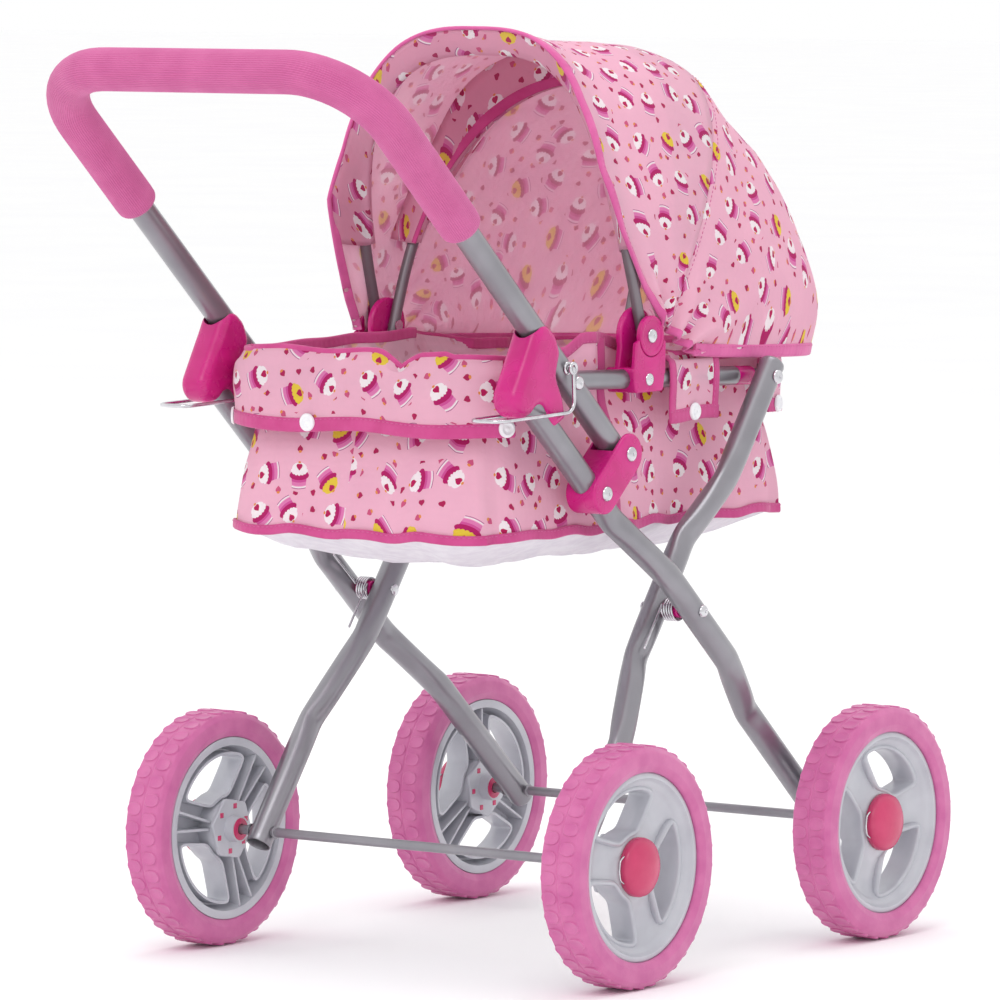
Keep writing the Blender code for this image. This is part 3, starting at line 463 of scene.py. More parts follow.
def weave(tree, thread_mm, strength, base_normal=None):
    """The bump of a plain weave, threads along both directions of the cloth's UV map."""
    place = add(tree, "ShaderNodeUVMap", uv_map="surface")
    wobble = speckled(tree, place, thread_mm * 6)
    bent = add(tree, "ShaderNodeVectorMath", (place, (0, 0, 0)), operation="ADD")
    tree.links.new(add(tree, "ShaderNodeVectorMath", {0: wobble.outputs["Color"],
                                                      "Scale": thread_mm * 0.0008},
                       operation="SCALE").outputs[0], bent.inputs[1])
    waves = []
    for axis in "XY":
        waves.append(add(tree, "ShaderNodeTexWave", {"Vector": bent,
                                                     "Scale": per_metre(thread_mm) / 6.2832 * 0.32,
                                                     "Distortion": 0.0}, bands_direction=axis))
    both = add(tree, "ShaderNodeMath", (waves[0].outputs[1], waves[1].outputs[1]), operation="ADD")
    slubs = speckled(tree, place, thread_mm * 3)
    height = add(tree, "ShaderNodeMath", (both, slubs), operation="ADD")
    inputs = {"Height": height, "Strength": strength, "Distance": 0.00025}
    if base_normal:
        inputs["Normal"] = base_normal
    return add(tree, "ShaderNodeBump", inputs)


def oval(tree, place, centre, half):
    """1 inside an oval on the cloth, 0 outside; sizes in millimetres."""
    away = add(tree, "ShaderNodeVectorMath", (place, (*centre, 0)), operation="SUBTRACT")
    scaled = add(tree, "ShaderNodeVectorMath", (away, (*half, 1)), operation="DIVIDE")
    length = add(tree, "ShaderNodeVectorMath", (scaled,), operation="LENGTH").outputs["Value"]
    return add(tree, "ShaderNodeMath", (length, 1.0), operation="LESS_THAN")


def both_of(tree, a, b):
    return add(tree, "ShaderNodeMath", (a, b), operation="MULTIPLY")


def either_of(tree, a, b):
    return add(tree, "ShaderNodeMath", (a, b), operation="MAXIMUM")


def band(tree, value, low, high):
    """1 where the value lies between two limits."""
    over = add(tree, "ShaderNodeMath", (value, low), operation="GREATER_THAN")
    under = add(tree, "ShaderNodeMath", (value, high), operation="LESS_THAN")
    return both_of(tree, over, under)


def painted(tree, under, over, mask):
    return add(tree, "ShaderNodeMixRGB", {"Fac": mask, "Color1": under, "Color2": over})


def small_heart(tree, place, centre, size):
    """A heart of two ovals and a square on its corner; sizes in millimetres."""
    x, y = centre
    left = oval(tree, place, (x - 0.40 * size, y + 0.25 * size), (0.52 * size, 0.50 * size))
    right = oval(tree, place, (x + 0.40 * size, y + 0.25 * size), (0.52 * size, 0.50 * size))
    away = add(tree, "ShaderNodeVectorMath", (place, (x, y - 0.12 * size, 0)), operation="SUBTRACT")
    parts = add(tree, "ShaderNodeSeparateXYZ", (add(tree, "ShaderNodeVectorMath", (away,),
                                                    operation="ABSOLUTE"),))
    sum_xy = add(tree, "ShaderNodeMath", (parts.outputs[0], parts.outputs[1]), operation="ADD")
    point = add(tree, "ShaderNodeMath", (sum_xy, 0.86 * size), operation="LESS_THAN")
    return either_of(tree, either_of(tree, left, right), point)


def scattered(tree, place, spacing_mm, loose, shift):
    """Motifs thrown on the cloth: returns the place in millimetres inside the nearest motif's own
    turned square, and its random colour."""
    moved = add(tree, "ShaderNodeVectorMath", (place, (shift, shift * 0.6, 0)), operation="ADD")
    cells = add(tree, "ShaderNodeTexVoronoi", {"Vector": moved, "Scale": per_metre(spacing_mm),
                                               "Randomness": loose},
                voronoi_dimensions="2D")
    away = add(tree, "ShaderNodeVectorMath", (moved, cells.outputs["Position"]), operation="SUBTRACT")
    in_mm = add(tree, "ShaderNodeVectorMath", {0: away, "Scale": 1000.0}, operation="SCALE")
    draw = add(tree, "ShaderNodeSeparateColor", (cells.outputs["Color"],))
    angle = add(tree, "ShaderNodeMath", (draw.outputs[0], 6.2832), operation="MULTIPLY")
    turned_place = add(tree, "ShaderNodeVectorRotate", {"Vector": in_mm, "Angle": angle},
                       rotation_type="Z_AXIS")
    return turned_place, draw


MOTIF_MM, SMALL_MOTIF_MM = 27, 12.5     # spacing of the cakes and of the small hearts


def cake_print(tree, place, base):
    """A confectioner's print: iced cakes about 16 mm high and small hearts between them."""
    spot, draw = scattered(tree, place, MOTIF_MM, 0.42, 0.013)
    small, small_draw = scattered(tree, place, SMALL_MOTIF_MM, 0.62, 0.0)
    clear_of_cakes = add(tree, "ShaderNodeMath", (oval(tree, spot, (0, 0), (10.8, 10.8)), 0.5),
                         operation="LESS_THAN")
    shown = both_of(tree, clear_of_cakes, band(tree, small_draw.outputs[1], 0.0, 0.72))
    dark_small = band(tree, small_draw.outputs[2], 0.0, 0.45)
    heart_colour = painted(tree, colour("#d9638f"), colour("#bd2d63"), dark_small)
    cloth = painted(tree, base, heart_colour, both_of(tree, shown, small_heart(tree, small, (0, -0.3), 2.2)))
    tip = both_of(tree, shown, oval(tree, small, (0, 1.7), (1.2, 0.8)))
    cloth = painted(tree, cloth, colour("#eda257"), both_of(tree, tip, band(tree, small_draw.outputs[2],
                                                                            0.3, 1.0)))

    parts = add(tree, "ShaderNodeSeparateXYZ", (spot,))
    x, y = parts.outputs[0], parts.outputs[1]
    across = add(tree, "ShaderNodeMath", (x,), operation="ABSOLUTE")
    square = add(tree, "ShaderNodeMath", (x, x), operation="MULTIPLY")
    dipped = add(tree, "ShaderNodeMath", (square, -0.026, y), operation="MULTIPLY_ADD")
    flare = add(tree, "ShaderNodeMath", (y, 0.10, 5.9), operation="MULTIPLY_ADD")
    in_width = add(tree, "ShaderNodeMath", (across, flare), operation="LESS_THAN")
    line_width = add(tree, "ShaderNodeMath", (across, 5.3), operation="LESS_THAN")
    # thin lines under the paper case, then the case, the sponge, the icing and the heart
    cloth = painted(tree, cloth, colour("#b9709f"), both_of(tree, line_width, band(tree, dipped, -9.15,
                                                                                   -8.65)))
    cloth = painted(tree, cloth, colour("#ffffff"), both_of(tree, line_width, band(tree, dipped, -8.55,
                                                                                   -7.75)))
    cloth = painted(tree, cloth, colour("#dd5fab"), both_of(tree, in_width, band(tree, dipped, -7.3, -1.5)))
    folds = add(tree, "ShaderNodeMath", (add(tree, "ShaderNodeMath", (x, 2.6), operation="MULTIPLY"),),
                operation="SINE")
    fold_mask = both_of(tree, in_width, band(tree, dipped, -7.3, -5.1))
    cloth = painted(tree, cloth, colour("#ea8cc4"), both_of(tree, fold_mask, band(tree, folds, -2.0, 2.0)))
    sponge = either_of(tree, oval(tree, spot, (0, -0.6), (7.3, 3.0)), oval(tree, spot, (0, 1.8), (6.3, 4.0)))
    cloth = painted(tree, cloth, colour("#c22674"), sponge)
    icing = oval(tree, spot, (0, 3.7), (5.5, 3.5))
    for k in range(7):
        turn = math.radians(195 + 25 * k)
        drop = (5.3 * math.cos(turn), 2.9 + 2.6 * math.sin(turn))
        icing = either_of(tree, icing, oval(tree, spot, drop, (1.25, 1.25)))
    yellow = band(tree, draw.outputs[1], 0.68, 1.1)
    cloth = painted(tree, cloth, painted(tree, colour("#ffffff"), colour("#f3df4e"), yellow), icing)
    cloth = painted(tree, cloth, colour("#c32263"), small_heart(tree, spot, (0, 4.6), 2.4))
    return painted(tree, cloth, colour("#eda257"), oval(tree, spot, (0, 7.3), (1.0, 0.7)))


def cotton(name, base, faded, wrinkle=0.25):
    """Printed plain-weave cotton; faded is the wrong side, where the ink barely shows."""
    made, tree = new_material(name)
    place = add(tree, "ShaderNodeUVMap", uv_map="surface")
    cloth = cake_print(tree, place, colour(base))
    if faded:
        cloth = painted(tree, cloth, colour(base), faded)
    worn = speckled(tree, place, 35, 3.0)
    cloth = add(tree, "ShaderNodeMixRGB", {"Fac": ramp(tree, worn, 0.3, 0.7, 0.0, 0.22), "Color1": cloth,
                                           "Color2": add(tree, "ShaderNodeMixRGB", {
                                               "Fac": 1.0, "Color1": cloth, "Color2": colour("#ecdcea")},
                                               blend_type="MULTIPLY")})
    creases = speckled(tree, place, 22, 4.0)
    rumple = add(tree, "ShaderNodeBump", {"Height": creases, "Strength": wrinkle, "Distance": 0.006})
    # The real thread spacing is 0.35 mm; 0.8 mm is the finest that shows
    fibres = weave(tree, 0.8, 0.22, rumple)
    inputs = {"Base Color": cloth, "Roughness": 0.86, "Sheen Weight": 0.12, "Sheen Roughness": 0.5,
              "Normal": fibres, "Specular IOR Level": 0.25}
    facing = add(tree, "ShaderNodeBsdfPrincipled", inputs)
    through = add(tree, "ShaderNodeBsdfTranslucent", {"Color": cloth, "Normal": fibres})
    finished(tree, add(tree, "ShaderNodeMixShader", {0: 0.42, 1: facing, 2: through}))
    return made


def tape(name, base, second):
    """Woven cotton bias tape, folded over an edge, its ribs across the tape."""
    made, tree = new_material(name)
    place = add(tree, "ShaderNodeUVMap", uv_map="surface")
    clouds = speckled(tree, place, 16, 3.0)
    tint = add(tree, "ShaderNodeMixRGB", {"Fac": ramp(tree, clouds, 0.35, 0.65), "Color1": colour(base),
                                          "Color2": colour(second)})
    pucker = add(tree, "ShaderNodeBump", {"Height": speckled(tree, place, 7, 2.0), "Strength": 0.35,
                                          "Distance": 0.0012})
    inputs = {"Base Color": tint, "Roughness": 0.80, "Sheen Weight": 0.25,
              "Normal": weave(tree, 0.8, 0.30, pucker), "Specular IOR Level": 0.25}
    finished(tree, add(tree, "ShaderNodeBsdfPrincipled", inputs))
    return made


print_outside = cotton("printed_cotton", "#f8c9dc", 0.0)
# The wrong side: its ink really is faded, and its base is lightened as painted light, standing in for light
# shining through the cloth
print_inside_painted_light = cotton("printed_cotton_wrong_side_painted_light", "#fbe3ec", 0.70)
print_sleeve = cotton("printed_cotton_sleeve", "#f0b4cc", 0.08)
hood_tape = tape("pink_bias_tape", "#d764a0", "#cd5896")
basket_tape = tape("deep_pink_bias_tape", "#c64a88", "#bd407e")
# Spun-bonded polypropylene, the white non-woven of the basket's floor: dull, fibrous
white_felt = plain_finish("white_nonwoven", "#e6e2e8", "#dcd6df", 0.85, 9, 1.2, 0.5)
# Polyester sewing thread
thread = plain_finish("pink_thread", "#cf659b", "#c65b92", 0.55, 4, 0.8, 0.2)


# ---------------------------------------------------------------- finished pieces
def piece(name, mesh, finishes, body, replaces=()):
    """A finished piece in the row frame.  With body None it is attached to no body."""
    mesh.transform(Matrix.Translation(ORIGIN))
    made = bpy.data.objects.new(name, mesh)
    mesh.name = name
    bpy.context.scene.collection.objects.link(made)
    if not mesh.materials:
        mesh.materials.append(finishes)
    if body:
        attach(made, body)
    if replaces:
        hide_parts(*replaces)
    return made


# ---------------------------------------------------------------- rivets
def rivet_head(sign, x, centre, radius, height, dimple=0.35):
    """A domed head standing outward from x, with the setting tool's dimple in its middle."""
    steps = [math.radians(a) for a in range(0, 91, 15)]
    profile = [(-0.0006, 0), (-0.0006, radius * 0.6), (-0.0002, radius * 0.99)]
    profile += [(height * math.sin(t), radius * (1 - (1 - math.cos(t)) * 0.72)) for t in steps]
    profile += [(height * 0.97, radius * 0.22), (height * (1 - dimple), radius * 0.14),
                (height * (1 - dimple), 0)]
    return turned([(x + out, r) for out, r in profile], Vector((0, *centre)), sign, 32)


def rivet(name, sign, centre, x_in, x_out, body, head_r, height=0.0024, inner=True):
    """Both heads of a rivet whose plain shank is hidden; x is measured outward."""
    place = (centre.y, centre.z)
    parts = [rivet_head(sign, x_out, place, head_r, height)]
    shank = turned([(x_in, 0), (x_in, head_r * 0.45), (x_out, head_r * 0.45), (x_out, 0)],
                   Vector((0, *place)), sign, 20)
    parts.append(shank)
    if inner:
        parts.append(turned([(x_in + 0.0004, 0), (x_in + 0.0004, head_r * 0.9), (x_in - height * 0.3,
                                                                                 head_r * 0.9),
                             (x_in - height * 0.6, head_r * 0.6), (x_in - height * 0.6, 0)],
                            Vector((0, *place)), sign, 28))
    return piece(name, joined(*parts), zinc, body, (name.replace("_set", ""),))


# ---------------------------------------------------------------- legs, axles and handle
def leg_path(sign, along_y, bends, z_low, z_high):
    points = [(sign * bends[0][1], along_y(z_low), z_low)]
    points += [(sign * x, along_y(z), z) for z, x in bends]
    points += [(sign * bends[-1][1], along_y(z_high), z_high)]
    return rounded(points, LEG_BEND_R), points[1:-1]


LEG_FOOT = 0.009
for side, sign in SIDES.items():
    path, bends = leg_path(sign, front_leg_y, FRONT_BENDS, AXLE_Z - LEG_FOOT * 0.5, LEG_TOP_Z)
    piece("front_leg_tube_" + side, pipe(path, TUBE_R, bends, closed_ends=(True, False)), silver_paint,
          "front_legs", ("front_leg_" + side,))
    path, bends = leg_path(sign, rear_leg_y, REAR_BENDS, AXLE_Z - LEG_FOOT * 0.8, LEG_TOP.z + 0.0070)
    piece("rear_leg_tube_" + side, pipe(path, TUBE_R, bends, closed_ends=(False, True)), silver_paint,
          "rear_legs", ("rear_leg_" + side,))

AXLE_HALF = TRACK / 2 + 0.0045
for name, y, body in (("front_axle", WHEELBASE, "front_legs"), ("rear_axle", 0, "rear_legs")):
    ends = [Vector((s * AXLE_HALF, y, AXLE_Z)) for s in (-1, 1)]
    parts = [wire(resampled(ends, 0.01), AXLE_R, 24, Vector((0, 0, 1)))]
    # the axle is pinched each side of a leg, which keeps the leg in place
    for sign in SIDES.values():
        for shift in (-0.0098, 0.0098):
            x = sign * LEG_LOW_X + shift
            crimp = soft_profile([(x - 0.0012, 0.0020), (x - 0.0004, 0.0042), (x + 0.0004, 0.0042),
                                  (x + 0.0012, 0.0020)], 0.0004)
            parts.append(turned(crimp, Vector((0, y, AXLE_Z)), 1, 24))
    piece(name + "_rod", joined(*parts), silver_paint, body, (name,))

handle_foot_z = HANDLE_PIVOT.z - 0.009 / math.hypot(1, HANDLE_SLOPE)


def handle_corners(z_right, z_left):
    return [(TUBE_X, handle_y(z_right), z_right), (TUBE_X, handle_y(HANDLE_Z), HANDLE_Z),
            (-TUBE_X, handle_y(HANDLE_Z), HANDLE_Z), (-TUBE_X, handle_y(z_left), z_left)]


piece("push_handle_tube", pipe(rounded(handle_corners(handle_foot_z, handle_foot_z), HANDLE_BEND_R, 16),
                               TUBE_R),
      silver_paint, "handle", ("handle_tube",))

GRIP_RIBS = 60              # fine lengthwise ribs round the grip
RIB_DEPTH = 0.00045


def grip_section(end_share):
    """A ribbed outline; end_share rounds it off at the two ends."""
    points = []
    for k in range(GRIP_RIBS * 4):
        turn = 2 * math.pi * k / (GRIP_RIBS * 4)
        ridge = (0.0, 0.75, 1.0, 0.75)[k % 4]
        radius = (GRIP_R - RIB_DEPTH * (1 - ridge)) * end_share
        points.append((radius * math.cos(turn), radius * math.sin(turn)))
    return points


grip_path = resampled(rounded(handle_corners(GRIP_END_Z["r"], GRIP_END_Z["l"]), HANDLE_BEND_R, 16), 0.006)
grip_ends = {0: 0.93, 1: 0.985}
grip_path = ([grip_path[0]] + [grip_path[0].lerp(grip_path[1], 0.25)] + grip_path[1:-1]
             + [grip_path[-1].lerp(grip_path[-2], 0.25)] + [grip_path[-1]])
grip_rows = swept_rows(grip_path, lambda k: grip_section(grip_ends.get(min(k, len(grip_path) - 1 - k), 1.0)))
for end, order in ((0, -1), (-1, 1)):
    ring = grip_rows[end]
    centre = grip_path[end]
    inner = [[centre + (p - centre) * s for p in ring] for s in (0.86, 0.70)]
    bore = [centre + (p - centre).normalized() * (TUBE_R + 0.0002) for p in ring]
    deep = [p + (grip_path[1 if end == 0 else -2] - centre).normalized() * 0.004 for p in bore]
    grip_rows = ([deep, bore] + inner[::-1] + grip_rows) if end == 0 else (grip_rows + inner + [bore, deep])
piece("handle_foam_grip", grid_mesh(grip_rows, wrap=True, caps=True, sharp=80), grip_foam, "handle",
      ("handle_grip",))

# ---------------------------------------------------------------- crossing pivots and springs
CROSS_X = (LEG_IN_X - TUBE_R, LEG_OUT_X + TUBE_R)
SPACER_X = (LEG_IN_X + TUBE_R + 0.0003, LEG_OUT_X - TUBE_R - 0.0003)
SPRING_WIRE_R, SPRING_R, SPRING_TURNS = 0.00075, 0.0066, 5


def spring_path(sign):
    """Up the front leg, five turns round the spacer, then down the rear leg to a hooked end."""
    pitch = (SPACER_X[1] - SPACER_X[0] - 2 * SPRING_WIRE_R - 0.0006) / SPRING_TURNS
    first, coil = math.radians(150), []
    for step in range(SPRING_TURNS * 28 + 1):
        turn = step / 28
        angle = first - 2 * math.pi * turn
        x = SPACER_X[1] - SPRING_WIRE_R - 0.0003 - pitch * turn
        coil.append(Vector((sign * x, CROSS.y + SPRING_R * math.cos(angle),
                            CROSS.z + SPRING_R * math.sin(angle))))
    up = Vector((0, -FRONT_LEG_SLOPE, 1)).normalized()
    down = Vector((0, -REAR_LEG_SLOPE, -1)).normalized()
    start = [coil[0] + up * 0.030, coil[0] + up * 0.0295 + Vector((sign * 0.0006, 0, 0)),
             coil[0] + up * 0.015]
    end = [coil[-1] + down * 0.016, coil[-1] + down * 0.0305, coil[-1] + down * 0.0318]
    return start + coil + end


for side, sign in SIDES.items():
    rivet("cross_rivet_%s_set" % side, sign, CROSS, *CROSS_X, "front_legs", 0.0040, 0.0022)
    spacer = soft_profile([(SPACER_X[0], 0.0027), (SPACER_X[0], 0.0050), (SPACER_X[1], 0.0050),
                           (SPACER_X[1], 0.0027)], 0.0005)
    piece("cross_bush_" + side, turned(spacer, Vector((0, CROSS.y, CROSS.z)), sign, 32), magenta_plastic,
          "front_legs", ("cross_spacer_" + side,))
    piece("crossing_spring_" + side, wire(spring_path(sign), SPRING_WIRE_R, 10), zinc, "front_legs",
          ("torsion_spring_" + side,))
    rivet("leg_top_rivet_%s_set" % side, sign, LEG_TOP, TUBE_X - TUBE_R * 0.6, TUBE_X + TUBE_R, "rear_legs",
          0.0046, 0.0022, inner=False)
    rivet("rail_rivet_%s_set" % side, sign, RAIL_PIVOT, RAIL_X - RAIL_R, TUBE_X + TUBE_R, "handle", 0.0042,
          0.0022)
    rivet("bail_rivet_%s_set" % side, sign, BAIL_PIN, TUBE_X - TUBE_R, TUBE_X + TUBE_R, "handle", 0.0042,
          0.0016)

# ---------------------------------------------------------------- link brackets and lock clips
BRACKET_R, BRACKET_HALF = 0.0125, 0.0111
CLIP_HALF, CLIP_EDGE = 0.0103, 0.0064
HOOK_AT = (-0.0370, 0.3892)
low_leg = Vector((TUBE_X, front_leg_y(0.272), 0.272))
high_leg = Vector((TUBE_X, front_leg_y(LEG_TOP_Z + 0.0006), LEG_TOP_Z + 0.0006))
handle_dir = Vector((0, -HANDLE_SLOPE, 1)).normalized()
handle_out = Vector((0, 1, HANDLE_SLOPE)).normalized()


def mirrored(point, sign):
    return Vector((sign * abs(point[0]), point[1], point[2]))


def slot_box(axis, along, outward, half_width, sign):
    """A closed box that opens a channel from an axis outward."""
    across = Vector((sign * half_width, 0, 0))
    rows = []
    for end in (-0.05, 0.05):
        base = axis + along * end
        rows.append([base + across, base + across + outward * 0.03, base - across + outward * 0.03,
                     base - across])
    return grid_mesh(rows, wrap=True, caps=True)


for side, sign in SIDES.items():
    leg_bore = rod_between(mirrored(low_leg, sign), mirrored(high_leg, sign), TUBE_R + 0.0001)
    x_low, x_high = sorted((sign * (TUBE_X - BRACKET_HALF), sign * (TUBE_X + BRACKET_HALF)))
    outline = hull_outline((BRACKET_LOW.y, BRACKET_LOW.z), (HANDLE_PIVOT.y, HANDLE_PIVOT.z), BRACKET_R)
    slot_low, slot_high = sorted((sign * (TUBE_X - TUBE_R - 0.0006), sign * (TUBE_X + TUBE_R + 0.0006)))
    slot_r = math.hypot(BRACKET_R, TUBE_R + 0.0003) + 0.0009
    slot = rod_between((slot_low, HANDLE_PIVOT.y, HANDLE_PIVOT.z), (slot_high, HANDLE_PIVOT.y,
                                                                    HANDLE_PIVOT.z), slot_r, 56)
    piece("fold_bracket_" + side, carved(plate(outline, x_low, x_high, 0.0016), leg_bore, slot),
          magenta_plastic,
          "front_legs", ("link_bracket_" + side,))
    rivet("handle_pivot_rivet_%s_set" % side, sign, HANDLE_PIVOT, TUBE_X - BRACKET_HALF,
          TUBE_X + BRACKET_HALF,
          "front_legs", 0.0047)
    rivet("bracket_rivet_%s_set" % side, sign, BRACKET_LOW, TUBE_X - BRACKET_HALF, TUBE_X + BRACKET_HALF,
          "front_legs", 0.0047)

    # The clip is a thumb lever on a sleeve round the leg, with a hook that snaps on the handle
    x_low, x_high = sorted((sign * (TUBE_X - CLIP_HALF), sign * (TUBE_X + CLIP_HALF)))
    bulb = arc((-0.0415, 0.3895), 0.0115, 60, 165, 16) + arc((-0.0600, 0.3565), 0.0115, 160, 275, 16)
    outline = [(-0.0185, 0.3430), (-0.0215, 0.3560), (-0.0285, 0.3690), (-0.0240, 0.3830), (-0.0290, 0.3940)]
    outline += bulb + [(-0.0530, 0.3470), (-0.0480, 0.3520), (-0.0430, 0.3510), (-0.0380, 0.3430),
                       (-0.0310, 0.3370)]
    soft = evened([(y, z) for y, z in outline], 0.0016, 3)
    hook_axis = Vector((sign * TUBE_X, *HOOK_AT))
    hook = rod_between(hook_axis - handle_dir * 0.05, hook_axis + handle_dir * 0.05, TUBE_R + 0.0001)
    mouth = slot_box(hook_axis, handle_dir, handle_out, TUBE_R + 0.0001, sign)
    piece("clip_lever_" + side, carved(plate(soft, x_low, x_high, CLIP_EDGE, 8, sharp=60), leg_bore, hook,
                                       mouth),
          magenta_plastic, "front_legs", ("lock_clip_" + side,))

# ---------------------------------------------------------------- safety bails
BAIL_WIRE_R, BAIL_HALF, BAIL_DROP_Z, BAIL_REAR_Y = 0.0012, 0.0118, 0.3468, -0.0900
for side, sign in SIDES.items():
    half_loop = [(BAIL_PIN.y, BAIL_PIN.z), (BAIL_PIN.y + 0.0015, BAIL_DROP_Z), (BAIL_REAR_Y,
                                                                                BAIL_DROP_Z - 0.002)]
    route = [(sign * (TUBE_X + BAIL_HALF), y, z) for y, z in half_loop]
    route += [(sign * (TUBE_X - BAIL_HALF), y, z) for y, z in reversed(half_loop)]
    parts = [wire(resampled(rounded(route, 0.0075), 0.002), BAIL_WIRE_R, 14)]
    for x in (TUBE_X + BAIL_HALF, TUBE_X - BAIL_HALF):      # the wire's ends are turned into eyes
        eye = [Vector((sign * x, BAIL_PIN.y + 0.0030 * math.cos(t), BAIL_PIN.z + 0.0030 * math.sin(t)))
               for t in np.radians(np.arange(0, 360, 15))]
        parts.append(wire(eye, BAIL_WIRE_R, 12, closed=True))
    piece("safety_wire_" + side, joined(*parts), zinc, "bail_" + side, ("safety_bail_" + side,))

# ---------------------------------------------------------------- basket frame
rail_dir = (Vector((0, LEG_TOP.y, LEG_TOP.z)) - Vector((0, RAIL_PIVOT.y, RAIL_PIVOT.z))).normalized()
rail_rear = Vector((0, RAIL_PIVOT.y, RAIL_PIVOT.z)) - rail_dir * 0.0065
plug_front = Vector((0, LEG_TOP.y, LEG_TOP.z)) + rail_dir * 0.0095
rail_front = plug_front - rail_dir * 0.0200
HOOP_IN = CUFF_X - RAIL_X


def rail_z(y):
    return rail_rear.z + (y - rail_rear.y) * rail_dir.z / rail_dir.y


def hoop_path(start, end_y):
    half = Vector((RAIL_X, 0, 0))
    corner = Vector((0, end_y, start.z))
    path = rounded([start + half, corner + half, corner - half, start - half], CUFF_CORNER_R - HOOP_IN)
    return resampled(path, 0.004)


for name, start, end_y in (("rear_hoop", rail_rear - rail_dir * 0.0003, BASKET_Y[0] + HOOP_IN),
                           ("front_hoop", plug_front + rail_dir * 0.0003, BASKET_Y[1] - HOOP_IN)):
    piece(name + "_wire", wire(hoop_path(start, end_y), HOOP_R, 20, Vector((0, 0, 1))), silver_paint,
          "basket_frame",
          (name,))

PIN_R = 0.0045
for side, sign in SIDES.items():
    out = Vector((sign * RAIL_X, 0, 0))
    piece("side_rail_tube_" + side, pipe([rail_rear + out, rail_front + out], RAIL_R, sides=32), silver_paint,
          "basket_frame", ("side_rail_" + side,))
    piece("rail_end_plug_" + side, pipe([rail_front + out + rail_dir * 0.0006,
                                         plug_front + out - rail_dir * 0.003],
                                        RAIL_R, sides=32, closed_ends=(True, True)), magenta_plastic,
          "basket_frame", ("rail_plug_" + side,))

    # Hood hinge: a saddle round the rail, an upright tongue between the bows, an outer cheek
    z = rail_z(BOW_PIVOT.y)
    y = BOW_PIVOT.y
    x_low, x_high = sorted(sign * x for x in SADDLE_X)
    base = [(0, y - 0.0175, z - 0.0080), (0, y + 0.0120, z - 0.0080), (0, y + 0.0150, z + 0.0075),
            (0, y - 0.0200, z + 0.0075)]
    base = [(p.y, p.z) for p in rounded(base, 0.0025, 5, closed=True)]
    rail_bore = rod_between(rail_rear + out, rail_front + out, RAIL_R + 0.0001)
    saddle = carved(plate(base, x_low, x_high, 0.0014), rail_bore)
    tongue_x = sorted((sign * 0.0932, sign * 0.0976))
    tongue = arc((y, BOW_PIVOT.z), 0.0175, -20, 200, 36)
    tongue = plate([(y + 0.0140, z + 0.0060)] + tongue + [(y - 0.0190, z + 0.0060)], *tongue_x, 0.0015)
    cheek_x = sorted((sign * 0.1058, sign * 0.1088))
    hug = arc((y, BOW_PIVOT.z), HUB_R + 0.0004, 350, 190, 24)
    cheek = [(0, y - 0.0190, z + 0.0030), (0, y + 0.0145, z + 0.0030), (0, y + 0.0150, BOW_PIVOT.z - 0.004)]
    cheek = [(p[1], p[2]) for p in cheek] + hug + [(y - 0.0165, BOW_PIVOT.z - 0.004)]
    cheek = plate(cheek, *cheek_x, 0.0007, 4)
    bead = rivet_head(sign, SADDLE_X[1] - 0.0002, (y - 0.003, z - 0.0002), 0.0040, 0.0018)
    piece("hood_hinge_" + side, joined(saddle, tongue, cheek), magenta_plastic, "basket_frame",
          ("hood_bracket_" + side,))
    piece("hinge_rail_rivet_" + side, bead, zinc, "basket_frame")

    hub = [(0.1054, 0.0019), (0.1054, HUB_R), (0.1092, HUB_R), (0.1092, HUB_R * 0.80), (0.1086, HUB_R * 0.74),
           (0.1086, 0.0019)]
    hub = turned(soft_profile(hub, 0.0009), Vector((0, BOW_PIVOT.y, BOW_PIVOT.z)), sign, 56)
    piece("bow_hub_disc_" + side, hub, magenta_plastic, "rear_bow", ("bow_hub_" + side,))
    pin = rivet_head(sign, 0.1088, (BOW_PIVOT.y, BOW_PIVOT.z), PIN_R, 0.0020)
    shank = turned([(0.0850, 0), (0.0850, 0.0035), (0.0858, 0.0035), (0.0858, 0.0015), (0.1088, 0.0015),
                    (0.1088, 0)],
                   Vector((0, BOW_PIVOT.y, BOW_PIVOT.z)), sign, 20)
    piece("bow_pin_rivet_" + side, joined(pin, shank), zinc, "basket_frame", ("bow_pin_" + side,))


# ---------------------------------------------------------------- hood bows
def bow_point(bow, angle):
    """A point on a bow; the angle runs from 0 at the right foot to 180 at the left."""
    half_width, lean, curl, height, power = bow
    turn = math.radians(angle)
    side_part = math.copysign(abs(math.cos(turn)) ** (2 / power), math.cos(turn))
    rise = height * max(math.sin(turn), 0.0) ** (2 / power)
    return Vector((half_width * side_part, BOW_PIVOT.y + lean * rise + curl * rise ** 3, BOW_PIVOT.z + rise))


REAR_BOW = (REAR_BOW_X, -0.306, 5.06, 0.1760, 2.9)
FRONT_BOW = (FRONT_BOW_X, 0.322, 10.4, 0.1560, 2.7)
BOW_TAIL = 0.0045
for name, bow in (("rear_bow", REAR_BOW), ("front_bow", FRONT_BOW)):
    path = [bow_point(bow, 180 * k / 96) for k in range(97)]
    tail = Vector((0, -bow[1], -1)).normalized() * BOW_TAIL
    path = resampled([path[0] + tail] + path + [path[-1] + tail], 0.004)
    parts = [wire(path, BOW_R, 20, Vector((0, 1, 0)))]
    piece(name + "_tube", joined(*parts), dark_paint, name, (name,))


